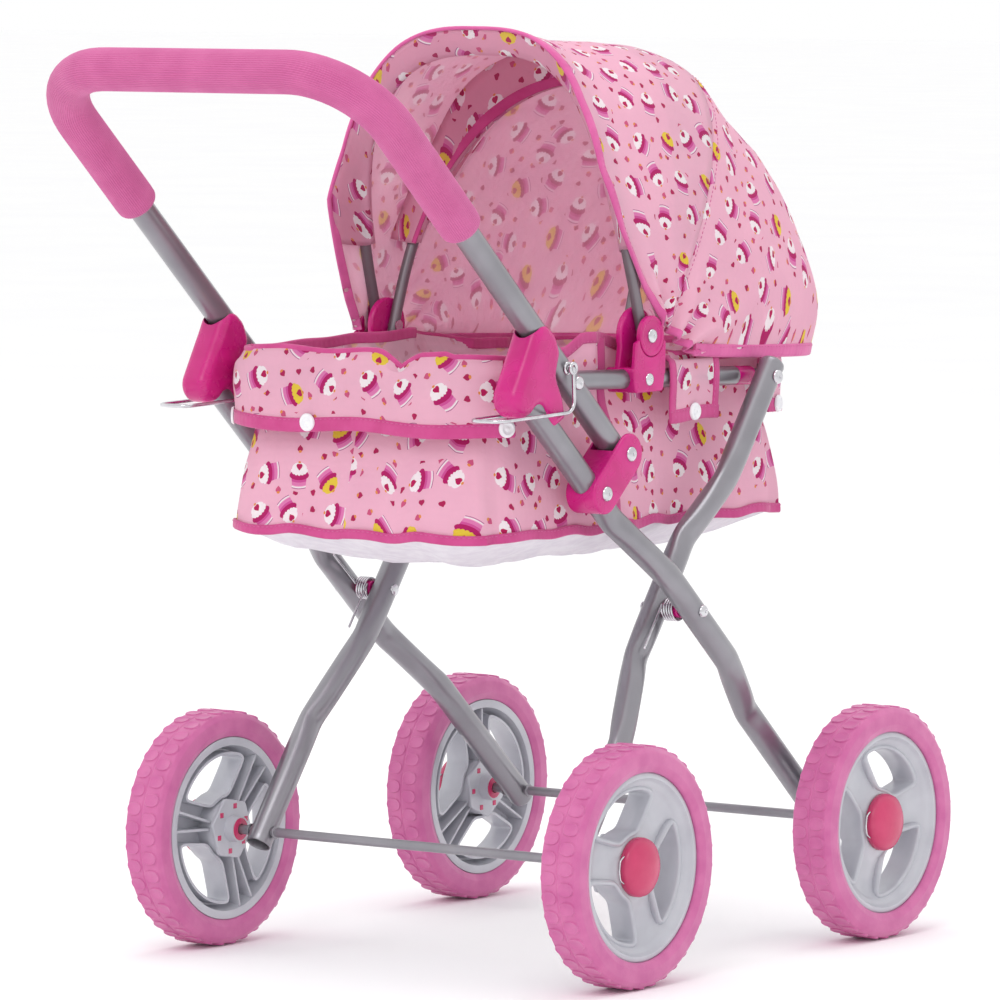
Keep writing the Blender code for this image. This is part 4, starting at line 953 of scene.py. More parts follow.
# ---------------------------------------------------------------- cloth helpers
def sewn_tape(path, faces, acrosses, width, thickness, closed=False, overhang=0.0008):
    """Tape folded over an edge: path is the edge, faces are the cloth's normals along it and
    acrosses point from the edge into the cloth.  thickness is half the fold's."""
    rows = []
    count = len(path)
    for k in range(count):
        before = path[k - 1] if closed or k else path[0]
        after = path[(k + 1) % count] if closed or k < count - 1 else path[-1]
        along = (after - before).normalized()
        face, across = faces[k], acrosses[k]
        across = (across - along * across.dot(along)).normalized()
        face = (face - along * face.dot(along) - across * face.dot(across)).normalized()
        puff = thickness * (1 + 0.10 * noise.noise(path[k] * 90))
        ring = []
        for a, b in TAPE_OUTLINE:
            ring.append(path[k] + across * (a * width - overhang) + face * b * puff)
        rows.append(ring)
    return grid_mesh(rows, wrap=True, loop=closed, caps=not closed, sharp=80)


# Section of folded tape: share of its width in from the edge, and of its half thickness
TAPE_OUTLINE = [(-0.02, 0.0), (0.03, 0.62), (0.12, 0.95), (0.30, 1.0), (0.55, 0.94), (0.80, 0.86), (0.95,
                                                                                                    0.72),
                (1.0, 0.35), (1.0, -0.35), (0.95, -0.72), (0.80, -0.86), (0.55, -0.94), (0.30, -1.0),
                (0.12, -0.95),
                (0.03, -0.62)]


def normals_of(rows):
    """Outward normals of a grid of points, by central differences."""
    grid = np.array([[tuple(p) for p in row] for row in rows])
    along = np.gradient(grid, axis=1)
    down = np.gradient(grid, axis=0)
    normal = np.cross(along, down)
    normal /= np.maximum(np.linalg.norm(normal, axis=2, keepdims=True), 1e-12)
    return [[Vector(n) for n in row] for row in normal]


def basket_cloth(name, mesh, finishes):
    """A piece of the basket's cloth, riding on the basket frame."""
    made = piece(name, mesh, finishes, "basket_frame")
    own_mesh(made)
    return made


# ---------------------------------------------------------------- basket
BASKET_CENTRE_Y = sum(BASKET_Y) / 2
BASKET_COLUMNS = 216
REAR_CUFF_END_Y = -0.0345
SIDE_TAB_Y = (0.116, 0.1770)
FRONT_CUFF_Y = 0.2240
NOTCH_X, NOTCH_HALF, NOTCH_DEPTH = 0.039, 0.016, 0.008     # the dip in the rear cuff's edge
HINGE_TUCK, HINGE_TUCK_REACH = 0.0062, 0.036
# Heights of the bare rim along each side: (y, z)
SIDE_RIM = {1: ((-0.060, 0.3800), (-0.030, 0.3780), (0.029, 0.3810), (0.0465, 0.3885), (0.075, 0.3875),
                (0.100, 0.3800), (0.132, 0.3740), (0.226, 0.3715)),
            -1: ((-0.060, 0.3800), (-0.041, 0.3795), (0.052, 0.3820), (0.112, 0.3835), (0.178, 0.3740),
                 (0.226, 0.3715))}


def basket_plan():
    """Even points round the wall line with their outward normals, starting mid-rear."""
    half_x, low_y, high_y = CUFF_X - WALL_IN, BASKET_Y[0] + WALL_IN, BASKET_Y[1] - WALL_IN
    corners = [(0.0, low_y), (half_x, low_y), (half_x, high_y), (-half_x, high_y), (-half_x, low_y)]
    path = rounded([(x, y, 0) for x, y in corners[1:]], CUFF_CORNER_R - WALL_IN, 24, closed=True)
    path = resampled(path, 0.002, closed=True)
    start = min(range(len(path)), key=lambda k: path[k].y + abs(path[k].x) * 0.01)
    path = path[start:] + path[:start]
    path = [path[round(k * len(path) / BASKET_COLUMNS) % len(path)] for k in range(BASKET_COLUMNS)]
    normals = []
    for k in range(BASKET_COLUMNS):
        along = path[(k + 1) % BASKET_COLUMNS] - path[k - 1]
        outward = Vector((along.y, -along.x, 0)).normalized()
        normals.append(outward if outward.dot(path[k] - Vector((0, BASKET_CENTRE_Y, 0))) > 0 else -outward)
    return path, normals


PLAN, PLAN_OUT = basket_plan()


def has_cuff(point):
    y = point.y
    return y < REAR_CUFF_END_Y or SIDE_TAB_Y[0] < y < SIDE_TAB_Y[1] or y > FRONT_CUFF_Y


def rim_height(point):
    """The height of the basket's upper edge."""
    side_z = float(np.interp(point.y, *zip(*SIDE_RIM[1 if point.x > 0 else -1])))
    wave = 0.0009 * math.sin(point.x * 95) + 0.0006 * math.sin(point.y * 120 + 1)
    if point.y < -0.0555:
        notch = max(0.0, 1 - abs(point.x - NOTCH_X) / NOTCH_HALF)
        return 0.3815 + wave - NOTCH_DEPTH * notch ** 1.4
    return side_z + wave * 0.6


def hinge_tuck(point):
    """How far the wall stands in from its line, to pass inside the hood's hinges."""
    away = min(1.0, abs(point.y - BOW_PIVOT.y) / HINGE_TUCK_REACH)
    return HINGE_TUCK * (1 - away ** 4)


def foot_inset(point):
    """The wall's inset at the floor seam: it hangs out at the ends and passes inside the rear legs."""
    by_leg = max(0.0, 1 - ((point.y - rear_leg_y(SEAM_Z)) / 0.062) ** 2) if abs(point.x) > 0.06 else 0.0
    by_side = 0.0060 if abs(point.x) > 0.085 else 0.0
    return 0.0010 + max(by_side, 0.0135 * by_leg ** 0.5)


def wall_profile(k):
    """(inset, z) down the wall from the top edge to the floor seam."""
    top = rim_height(PLAN[k])
    lean = 0.0072 if has_cuff(PLAN[k]) else WALL_IN - 0.0008
    tuck = hinge_tuck(PLAN[k])
    low = foot_inset(PLAN[k])
    levels = [(lean + tuck, top), (lean + (WALL_IN - lean) * 0.45 + tuck, top - 0.0045),
              (WALL_IN - 0.001 + tuck, 0.366), (WALL_IN + tuck, 0.358), (WALL_IN + 0.0005 + tuck * 0.6,
                                                                         0.345)]
    for z, share in ((0.332, 0.16), (0.318, 0.40), (0.304, 0.64), (0.290, 0.84), (0.279, 0.96), (SEAM_Z,
                                                                                                 1.0)):
        levels.append((WALL_IN + 0.0006 + (low - WALL_IN) * share, z))
    return levels


WALL_ROWS = 11
CUFF_PROFILE = ((0.0066, -0.0012), (0.0042, -0.0055), (0.0012, -0.0118), (0.0001, -0.0180), (0.0, -0.0260),
                (0.0006, -0.0340), (0.0010, -0.0420), (0.0006, -0.0490))


def shell_point(k, inset, z, rumple):
    base = PLAN[k] + PLAN_OUT[k] * (WALL_IN - inset)
    point = Vector((base.x, base.y, z))
    swing = noise.noise(Vector((point.x, point.y, z * 0.5)) / 0.042)
    fine = noise.noise(Vector((point.x + 3, point.y, z)) / 0.015)
    return point + PLAN_OUT[k] * rumple * (swing * 0.0022 + fine * 0.0006)


def calm(z):
    """Share of the rumpling at a height: none at the rim, most half-way down."""
    return max(0.0, min(1.0, (0.376 - z) / 0.030)) * (0.45 if z < 0.275 else 1.0)


wall_rows = []
for level in range(WALL_ROWS):
    row = []
    for k in range(BASKET_COLUMNS):
        inset, z = wall_profile(k)[level]
        z += 0.0014 * noise.noise(PLAN[k] / 0.03 + Vector((0, 0, 9))) if level == WALL_ROWS - 1 else 0
        row.append(shell_point(k, inset, z, calm(z)))
    wall_rows.append(row)


def finer(rows, times):
    """More rows on smooth curves through the rows given."""
    grid = np.array([[tuple(p) for p in row] for row in rows])
    ends = np.concatenate([2 * grid[:1] - grid[1:2], grid, 2 * grid[-1:] - grid[-2:-1]])
    made = []
    for k in range(len(grid) - 1):
        before, a, b, after = ends[k:k + 4]
        for step in range(times):
            t = step / times
            made.append(0.5 * (2 * a + (b - before) * t + (2 * before - 5 * a + 4 * b - after) * t ** 2
                               + (3 * a - before - 3 * b + after) * t ** 3))
    made.append(grid[-1])
    return [[Vector(p) for p in row] for row in made]


def facing_out(mesh, centre):
    """Turns an open grid over where its faces look towards the centre."""
    total = sum((face.normal.dot(face.center - centre) * face.area for face in mesh.polygons), 0.0)
    if total < 0:
        mesh.flip_normals()
    return mesh


BASKET_HEART = Vector((0, BASKET_CENTRE_Y, 0.32))
CLOTH_T = 0.0009


def cloth_shell(rows, wrap, centre, thick=CLOTH_T, straight=False):
    mesh = facing_out(grid_mesh(rows, wrap=wrap, sharp=180, straight=straight), centre)
    mesh.materials.append(print_outside)
    mesh.materials.append(print_inside_painted_light)
    return with_modifiers(mesh, ("SOLIDIFY", {"thickness": thick, "offset": 0.0, "material_offset": 1,
                                              "use_even_offset": False}))


shell = cloth_shell(finer(wall_rows, 3), True, BASKET_HEART, straight=True)
wall = basket_cloth("basket_wall", shell, list(shell.materials))
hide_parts("basket")

# The floor: white non-woven, sewn into the wall's lower edge and sagging in the middle
floor_rows = []
for step in range(15):
    share = step / 14
    row = []
    for k in range(BASKET_COLUMNS):
        edge = wall_rows[-1][k]
        heart = Vector((max(-0.02, min(0.02, edge.x * 0.22)),
                        BASKET_CENTRE_Y + (edge.y - BASKET_CENTRE_Y) * 0.40, 0))
        flat = edge.lerp(heart, share)
        drop = (SEAM_Z - SAG_Z) * (1 - (1 - share) ** 2.2)
        ruffle = noise.noise(Vector((flat.x, flat.y, 0)) / 0.030) * 0.0030 * min(1.0, share * 4)
        row.append(Vector((flat.x, flat.y, edge.z - drop + ruffle)))
    floor_rows.append(row)
centre_point = sum(floor_rows[-1], Vector()) / BASKET_COLUMNS
floor_rows += [[p.lerp(centre_point, t) for p in floor_rows[-1]] for t in (0.5, 0.99)]
floor_mesh = with_modifiers(grid_mesh(floor_rows, wrap=True, sharp=180),
                            ("SOLIDIFY", {"thickness": 0.0007, "offset": 0.0, "use_even_offset": False}))
cloth_floor = basket_cloth("basket_floor", floor_mesh, white_felt)


def runs(test):
    """Unbroken runs of plan columns that pass a test, each in order round the basket."""
    passed = [test(p) for p in PLAN]
    start = passed.index(False)
    order = [(start + k) % BASKET_COLUMNS for k in range(BASKET_COLUMNS)]
    found, run = [], []
    for k in order:
        if passed[k]:
            run.append(k)
        elif run:
            found.append(run)
            run = []
    return found + ([run] if run else [])


def cuff_hem(k):
    """How much lower or higher the cuff's hem hangs here."""
    return 0.0012 * math.sin(PLAN[k].x * 60 + 1) + 0.0008 * math.sin(PLAN[k].y * 90)


def cuff_rows(run):
    rows = []
    for step in range(len(CUFF_PROFILE) + 1):
        row = []
        for k in run:
            top = rim_height(PLAN[k])
            inset, drop = (0.0072, -0.0004) if step == 0 else CUFF_PROFILE[step - 1]
            z = max(top + drop, 0.3265) if step < 3 else 0.3815 + drop + (cuff_hem(k) * step / 8)
            z = min(z, top - 0.0005 * step)
            rumple = 0.0 if step < 2 else min(1.0, (step - 1) / 4) * 0.8
            row.append(shell_point(k, inset, z, rumple))
        rows.append(row)
    return finer(rows, 3)


tapes, studs, stitch_lines = [], [], []
DOWN = Vector((0, 0, -1))


def edge_tape(path, faces, across, width, half_thick=0.0011, closed=False, overhang=0.0008):
    tapes.append(sewn_tape(path, faces, across, width, half_thick, closed, overhang))
    inner = [p + a.normalized() * (width - overhang - 0.0012) + f * half_thick * 0.95
             for p, f, a in zip(path, faces, across)]
    stitch_lines.append(inner + inner[:1] if closed else inner)


for number, run in enumerate(runs(has_cuff)):
    rows = cuff_rows(run)
    mesh = cloth_shell(rows, False, BASKET_HEART, straight=True)
    cuff = basket_cloth("basket_cuff_%d" % (number + 1), mesh, list(mesh.materials))
    out = [PLAN_OUT[k] for k in run]
    edge_tape(rows[-1], out, [-DOWN] * len(run), 0.0085)
    for end, inward in ((0, 1), (-1, -2)):
        column = [row[end] for row in rows[5:]]
        toward = (rows[8][inward] - rows[8][end]).normalized()
        edge_tape(column, [out[end]] * len(column), [toward] * len(column), 0.0065)

top_edge = [wall_rows[0][k] + Vector((0, 0, 0.0006)) for k in range(BASKET_COLUMNS)]
edge_tape(top_edge, PLAN_OUT, [DOWN] * BASKET_COLUMNS, 0.0070, 0.0013, closed=True)
bottom_edge = []
for k in range(BASKET_COLUMNS):
    curl = 0.0014 * math.sin(k * 0.55) * (0.6 + noise.noise(PLAN[k] / 0.05))
    bottom_edge.append(wall_rows[-1][k] + PLAN_OUT[k] * (0.0010 + curl * 0.6) + Vector((0, 0,
                                                                                        -0.0030 + curl)))
edge_tape(bottom_edge, PLAN_OUT, [-DOWN] * BASKET_COLUMNS, 0.0060, 0.0012, closed=True)

# A bound seam down each side of the wall
SEAM_Y = 0.0735
for sign in SIDES.values():
    k = min(range(BASKET_COLUMNS), key=lambda k: abs(PLAN[k].y - SEAM_Y) + (9 if PLAN[k].x * sign < 0 else 0))
    column = [row[k] + PLAN_OUT[k] * 0.0012 for row in finer(wall_rows, 3)][2:]
    side_on = Vector((0, 1, 0))
    tapes.append(sewn_tape([p - side_on * 0.0040 for p in column], [PLAN_OUT[k]] * len(column),
                           [side_on] * len(column), 0.0080, 0.0010, overhang=0.0))

basket_cloth("basket_binding", joined(*tapes), basket_tape)


# ---------------------------------------------------------------- stitching and studs
def stitch_tree(name):
    """Geometry Nodes: lays a thread stitch every so often along each line of a mesh."""
    tree = bpy.data.node_groups.new(name, "GeometryNodeTree")
    sockets = {}
    tree.interface.new_socket("Geometry", in_out="INPUT", socket_type="NodeSocketGeometry")
    for label, value in (("Spacing", 0.0034), ("Stitch Length", 0.0024), ("Thread Radius", 0.00030)):
        socket = tree.interface.new_socket(label, in_out="INPUT", socket_type="NodeSocketFloat")
        socket.default_value = value
        sockets[label] = socket.identifier
    socket = tree.interface.new_socket("Thread", in_out="INPUT", socket_type="NodeSocketMaterial")
    sockets["Thread"] = socket.identifier
    tree.interface.new_socket("Geometry", in_out="OUTPUT", socket_type="NodeSocketGeometry")
    start = add(tree, "NodeGroupInput")
    curve = add(tree, "GeometryNodeMeshToCurve", {"Mesh": start.outputs["Geometry"]})
    points = add(tree, "GeometryNodeCurveToPoints", {"Curve": curve, "Length": start.outputs["Spacing"]},
                 mode="LENGTH")
    ball = add(tree, "GeometryNodeMeshIcoSphere", {"Radius": 0.5, "Subdivisions": 1})
    width = add(tree, "ShaderNodeMath", (start.outputs["Thread Radius"], 2.0), operation="MULTIPLY")
    size = add(tree, "ShaderNodeCombineXYZ", (width, width, start.outputs["Stitch Length"]))
    placed = add(tree, "GeometryNodeInstanceOnPoints", {"Points": points, "Instance": ball,
                                                        "Rotation": points.outputs["Rotation"],
                                                        "Scale": size})
    real = add(tree, "GeometryNodeRealizeInstances", (placed,))
    threaded = add(tree, "GeometryNodeSetMaterial", {"Geometry": real, "Material": start.outputs["Thread"]})
    end = add(tree, "NodeGroupOutput")
    tree.links.new(threaded.outputs[0], end.inputs[0])
    return tree, sockets


STITCHES, STITCH_INPUTS = stitch_tree("stitches")


def grown(mesh, tree, sockets, **values):
    """The plain mesh that a Geometry Nodes tree makes of another."""
    holder = bpy.data.objects.new("grown", mesh)
    bpy.context.scene.collection.objects.link(holder)
    step = holder.modifiers.new("grow", "NODES")
    step.node_group = tree
    for label, value in values.items():
        step[sockets[label.replace("_", " ")]] = value
    made = bpy.data.meshes.new_from_object(holder.evaluated_get(bpy.context.evaluated_depsgraph_get()))
    bpy.data.objects.remove(holder, do_unlink=True)
    return made


def line_mesh(lines):
    mesh = bpy.data.meshes.new("lines")
    points, edges = [], []
    for line in lines:
        edges += [(len(points) + k, len(points) + k + 1) for k in range(len(line) - 1)]
        points += [tuple(p) for p in line]
    mesh.from_pydata(points, edges, [])
    return mesh


basket_stitches = grown(line_mesh(stitch_lines), STITCHES, STITCH_INPUTS, Thread=thread)
basket_stitches.shade_smooth()
basket_cloth("basket_stitching", basket_stitches, thread)


def press_stud(place, out, radius=0.0055):
    """A round press stud: a domed rim with a hollow middle."""
    profile = [(0, 0), (0, radius), (0.0008, radius), (0.0016, radius * 0.88), (0.0018, radius * 0.68),
               (0.0010, radius * 0.56), (0.0009, radius * 0.30), (0.0014, radius * 0.22), (0.0014, 0)]
    mesh = turned(profile, Vector(), 1, 28)
    turn = Vector((1, 0, 0)).rotation_difference(out).to_matrix().to_4x4()
    mesh.transform(Matrix.Translation(place + out * 0.0006) @ turn)
    return mesh


STUD_Z = 0.3375
for x, y in ((-0.026, BASKET_Y[0]), (CUFF_X, -0.0510), (-CUFF_X, -0.0510), (CUFF_X, 0.146), (-CUFF_X,
                                                                                             0.146),
                                                                                             (CUFF_X, 0.2390),
             (-CUFF_X, 0.2390)):
    off = [PLAN[k].xy + PLAN_OUT[k].xy * WALL_IN - Vector((x, y)) for k in range(BASKET_COLUMNS)]
    spot = min(range(BASKET_COLUMNS), key=lambda k: off[k].length)
    at = shell_point(spot, 0.0002, STUD_Z, 0.6)
    studs.append(press_stud(at, PLAN_OUT[spot]))
basket_cloth("basket_press_studs", joined(*studs), stud_nylon)

# ---------------------------------------------------------------- hood
# Arches fan out from HOOD_HINGE: lean from vertical in degrees, reach at the top,
# squareness, and reach of the lower end, for the rim, the sag, the seam and the front
HOOD_ARCHES = ((-12.6, 0.207, 3.0, 0.046), (10.5, 0.1965, 2.8, 0.040), (33.0, 0.217, 2.7, 0.028),
               (45.0, 0.2125, 3.0, 0.020), (66.0, 0.230, 3.5, 0.016), (81.0, 0.229, 4.4, 0.0145),
               (92.0, 0.216, 4.6, 0.0145))
RIM_LEAN, SEAM_LEAN, HEM_LEAN = -12.6, 33.0, 92.0
# The rim seen from each side, and the line of its lower ends: (y, z)
RIM_LINE = {1: ((0.1085, 0.3948), (0.0913, 0.4147), (0.0702, 0.4517), (0.0562, 0.4893), (0.0540, 0.5300),
                (0.0570, 0.5600), (0.0598, 0.5740)),
            -1: ((0.0798, 0.3843), (0.0697, 0.4031), (0.0595, 0.4286), (0.0452, 0.4667), (0.0525, 0.4975),
                 (0.0565, 0.5450), (0.0598, 0.5740))}
FEET = {1: ((-12.6, 0.1085, 0.3948), (33.0, 0.1140, 0.3905), (45.0, 0.1195, 0.3865), (66.0, 0.1300, 0.3795),
            (92.0, 0.1420, 0.3728)),
        -1: ((-12.6, 0.0798, 0.3843), (33.0, 0.0980, 0.3815), (45.0, 0.1060, 0.3795), (66.0, 0.1200, 0.3765),
             (92.0, 0.1380, 0.3728))}
HOOD_COLUMNS = 120


def eased(lean, table):
    """Smooth values between the rows of a table, by its first column."""
    leans = [row[0] for row in table]
    k = max(0, min(len(table) - 2, int(np.searchsorted(leans, lean)) - 1))
    t = (lean - leans[k]) / (leans[k + 1] - leans[k])
    values = []
    for column in range(1, len(table[0])):
        line = [row[column] for row in table]

        def slope(i):
            if i in (0, len(line) - 1):
                a, b = (0, 1) if i == 0 else (i - 1, i)
            else:
                a, b = i - 1, i + 1
            return (line[b] - line[a]) / (leans[b] - leans[a])

        width = leans[k + 1] - leans[k]
        a, b, m, n = line[k], line[k + 1], slope(k) * width, slope(k + 1) * width
        values.append((2 * t ** 3 - 3 * t * t + 1) * a + (t ** 3 - 2 * t * t + t) * m
                      + (3 * t * t - 2 * t ** 3) * b + (t ** 3 - t * t) * n)
    return values


def hood_row(lean):
    """Even points on the hood's arch at a lean, from the left foot to the right one."""
    reach, power, foot = eased(lean, HOOD_ARCHES)
    start = math.asin((foot / reach) ** (power / 2))
    fade = max(0.0, min(1.0, (SEAM_LEAN - lean) / (SEAM_LEAN - RIM_LEAN)))
    row = []
    for step in range(241):
        share = step / 120 - 1
        side = 1 if share >= 0 else -1
        angle = math.pi / 2 - share * (math.pi / 2 - start)
        part = math.sin(angle) ** (2 / power)
        x = HOOD_X * side * abs(math.cos(angle)) ** (2 / power)
        tilt = math.radians(lean - 10.0 * (1 - part ** 4) * fade)
        point = Vector((x, HOOD_HINGE.y + reach * part * math.sin(tilt),
                        HOOD_HINGE.z + reach * part * math.cos(tilt)))
        low = ((1 - part) / (1 - foot / reach)) ** 3
        tilt_low = math.radians(lean - 10.0 * fade)
        foot_point = Vector((0, HOOD_HINGE.y + foot * math.sin(tilt_low),
                             HOOD_HINGE.z + foot * math.cos(tilt_low)))
        foot_y, foot_z = eased(lean, FEET[side])
        point += Vector((0, foot_y - foot_point.y, foot_z - foot_point.z)) * low
        if fade > 0:
            rim_y = float(np.interp(point.z, [z for _, z in RIM_LINE[side]], [y for y, _ in RIM_LINE[side]]))
            point.y += (rim_y - point.y) * fade ** 1.4
        row.append(point)
    return evenly(row, HOOD_COLUMNS)


def hood_sheet(leans):
    """Rows of a hood panel, with soft drape creases that run out from its lower ends."""
    rows = [hood_row(lean) for lean in leans]
    normals = normals_of(rows)
    made = []
    for lean, row, outs in zip(leans, rows, normals):
        line = []
        for k, (point, out) in enumerate(zip(row, outs)):
            share = abs(2 * k / HOOD_COLUMNS - 1)
            heart = Vector((0, 0.17, 0.42))
            out = out if out.dot(point - heart) > 0 else -out
            at_edge = min(1.0, abs(lean - RIM_LEAN) / 8, abs(lean - HEM_LEAN) / 6, abs(lean - SEAM_LEAN) / 6)
            gather = max(0.0, (share - 0.55) / 0.45) ** 1.5
            crease = 0.0034 * gather * math.sin(math.radians(lean) * 17 + 3 * noise.noise(point / 0.06))
            soft = 0.0032 * noise.noise(point / 0.048) + 0.0005 * noise.noise(point / 0.014)
            line.append(point + out * at_edge * (crease + soft))
        made.append(line)
    return made


HOOD_HEART = Vector((0, 0.16, 0.43))
seam_mid = hood_row(SEAM_LEAN)[HOOD_COLUMNS // 2]
rim_mid = hood_row(RIM_LEAN)[HOOD_COLUMNS // 2]
hem_mid = hood_row(HEM_LEAN)[HOOD_COLUMNS // 2]


def rear_cloth(name, mesh, finishes, slot="print_fabric"):
    """A piece of the hood between its two bows."""
    made = piece(name, mesh, finishes, None)
    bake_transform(made)
    return made


def front_cloth(name, mesh, finishes, slot="print_fabric"):
    """A piece of the hood between the basket and the front bow."""
    made = piece(name, mesh, finishes, None)
    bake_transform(made)
    return made


rear_rows = hood_sheet(np.linspace(RIM_LEAN, SEAM_LEAN - 0.12, 26))
front_rows = hood_sheet(np.linspace(SEAM_LEAN + 0.12, HEM_LEAN, 34))
for name, rows, maker, node in (("hood_rear_panel", rear_rows, rear_cloth, "canopy_rear"),
                                ("hood_front_panel", front_rows, front_cloth, "canopy_front")):
    mesh = cloth_shell(rows, False, HOOD_HEART)
    panel = maker(name, mesh, list(mesh.materials))
    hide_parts(node)
    deep = sum((b[60] - a[60]).length for a, b in zip(rows, rows[1:]))


def hood_tape_of(rows, edge, inward, width, half_thick):
    """Tape over one edge of the hood; returns it with its line of stitches."""
    path = rows[edge]
    outs = normals_of(rows)[edge]
    outs = [n if n.dot(p - HOOD_HEART) > 0 else -n for n, p in zip(outs, path)]
    across = [(rows[inward][k] - path[k]).normalized() for k in range(len(path))]
    mesh = sewn_tape(path, outs, across, width, half_thick)
    return mesh, [p + a * (width - 0.0022) + n * half_thick * 0.9 for p, a, n in zip(path, across, outs)]


rim_tape, rim_stitch = hood_tape_of(rear_rows, 0, 3, 0.0058, 0.0012)
rear_cloth("hood_rim_binding", rim_tape, hood_tape)
hem_tape, hem_stitch = hood_tape_of(front_rows, -1, -4, 0.0080, 0.0013)
foot_tapes = []
for end in (0, -1):
    column = [row[end] for row in front_rows]
    inward = 3 if end == 0 else -4
    outs = [Vector((1 if end else -1, 0, 0))] * len(column)
    across = [(row[inward] - row[end]).normalized() for row in front_rows]
    foot_tapes.append(sewn_tape(column, outs, across, 0.0058, 0.0012))
front_cloth("hood_hem_binding", joined(hem_tape, *foot_tapes), hood_tape)
hood_rear_stitches = grown(line_mesh([rim_stitch]), STITCHES, STITCH_INPUTS, Thread=thread)
hood_rear_stitches.shade_smooth()
rear_cloth("hood_rim_stitching", hood_rear_stitches, thread)
seam_stitch = [p + (p - HOOD_HEART).normalized() * 0.0006 for p in front_rows[1]]
hood_front_stitches = grown(line_mesh([hem_stitch, seam_stitch]), STITCHES, STITCH_INPUTS, Thread=thread)
hood_front_stitches.shade_smooth()
front_cloth("hood_hem_stitching", hood_front_stitches, thread)


# Sleeves of the same cotton hold the bows inside the hood
SLEEVE_LOW_Z = 0.437


def bow_angle_rows(bow, low_z, count=96):
    angles = [180 * k / 720 for k in range(721)]
    points = [bow_point(bow, a) for a in angles if bow_point(bow, a).z > low_z]
    return evenly(points, count)


def under_hood(lean):
    """A line just inside the rear panel, above the sleeve's lower ends."""
    place = (lean - RIM_LEAN) / (SEAM_LEAN - RIM_LEAN) * (len(rear_rows) - 1)
    k = max(0, min(len(rear_rows) - 2, int(place)))
    line = [a.lerp(b, place - k) for a, b in zip(rear_rows[k], rear_rows[k + 1])]
    return evenly([p + (HOOD_HEART - p).normalized() * 0.0009 for p in line if p.z > SLEEVE_LOW_Z], 96)


def sleeve(bow, edge_lean, other_lean):
    """Rows from one line inside the hood, under the bow, to another line inside the hood."""
    tube = bow_angle_rows(bow, SLEEVE_LOW_Z)[::-1]
    first, last = under_hood(edge_lean), under_hood(other_lean)
    rows = [first]
    for turn in (0.12, 0.5, 0.88):
        row = []
        for a, t, b in zip(first, tube, last):
            inward = (Vector((0, t.y, 0.45)) - t).normalized()
            aside = (b - a).normalized()
            row.append(t + inward * (BOW_R + 0.0016) * math.sin(math.pi * turn)
                       - aside * (BOW_R + 0.0016) * math.cos(math.pi * turn))
        rows.append(row)
    rows.append(last)
    return finer(rows, 4)


rear_sleeve = sleeve(REAR_BOW, RIM_LEAN + 0.3, RIM_LEAN + 8.0)
front_sleeve = sleeve(FRONT_BOW, SEAM_LEAN - 0.6, SEAM_LEAN - 11.0)
for name, rows, maker in (("rear_bow_sleeve", rear_sleeve, rear_cloth), ("front_bow_sleeve", front_sleeve,
                                                                         rear_cloth)):
    mesh = with_modifiers(grid_mesh(rows, sharp=180),
                          ("SOLIDIFY", {"thickness": 0.0008, "offset": 0.0, "use_even_offset": False}))
    made = maker(name, mesh, print_sleeve)
edge = front_sleeve[-6]
outs = [(Vector((0, p.y, 0.45)) - p).normalized() for p in edge]
across = [(a - b).normalized() for a, b in zip(front_sleeve[-2], edge)]
sleeve_tape = sewn_tape([p + n * 0.0008 for p, n in zip(edge, outs)], outs, across, 0.0070, 0.0010)
rear_cloth("front_sleeve_binding", sleeve_tape, basket_tape)

# ---------------------------------------------------------------- wheels
TYRE_W = 0.029
TREAD_R = 0.0730            # the tyre between its lugs
CAP_R, CAP_OUT = 0.018, 0.0165
WINDOW_R, WINDOW_HALF, SPOKES = (0.0205, 0.0472), 43, 3
LUGS, LUG_LONG, LUG_WIDE, LUG_HIGH, LUG_ROW_X = 38, 0.0112, 0.0084, 0.0011, 0.0062


def lug_mesh():
    """One raised stadium lug of the tread, lying on its base at the origin, long along X."""
    outline = []
    flat = (LUG_LONG - LUG_WIDE) / 2
    for end in (1, -1):
        for step in range(9):
            turn = math.radians(-90 + 180 * step / 8) + (0 if end == 1 else math.pi)
            outline.append((end * flat + LUG_WIDE / 2 * math.cos(turn), LUG_WIDE / 2 * math.sin(turn)))
    rows = []
    for z, size in ((-0.0010, 1.0), (0.0, 1.0), (LUG_HIGH * 0.55, 0.97), (LUG_HIGH * 0.86, 0.91),
                    (LUG_HIGH - 0.0004, 0.80)):
        rows.append([Vector((x * size, y * size, z)) for x, y in outline])
    return grid_mesh(rows, wrap=True, caps=True, sharp=70)


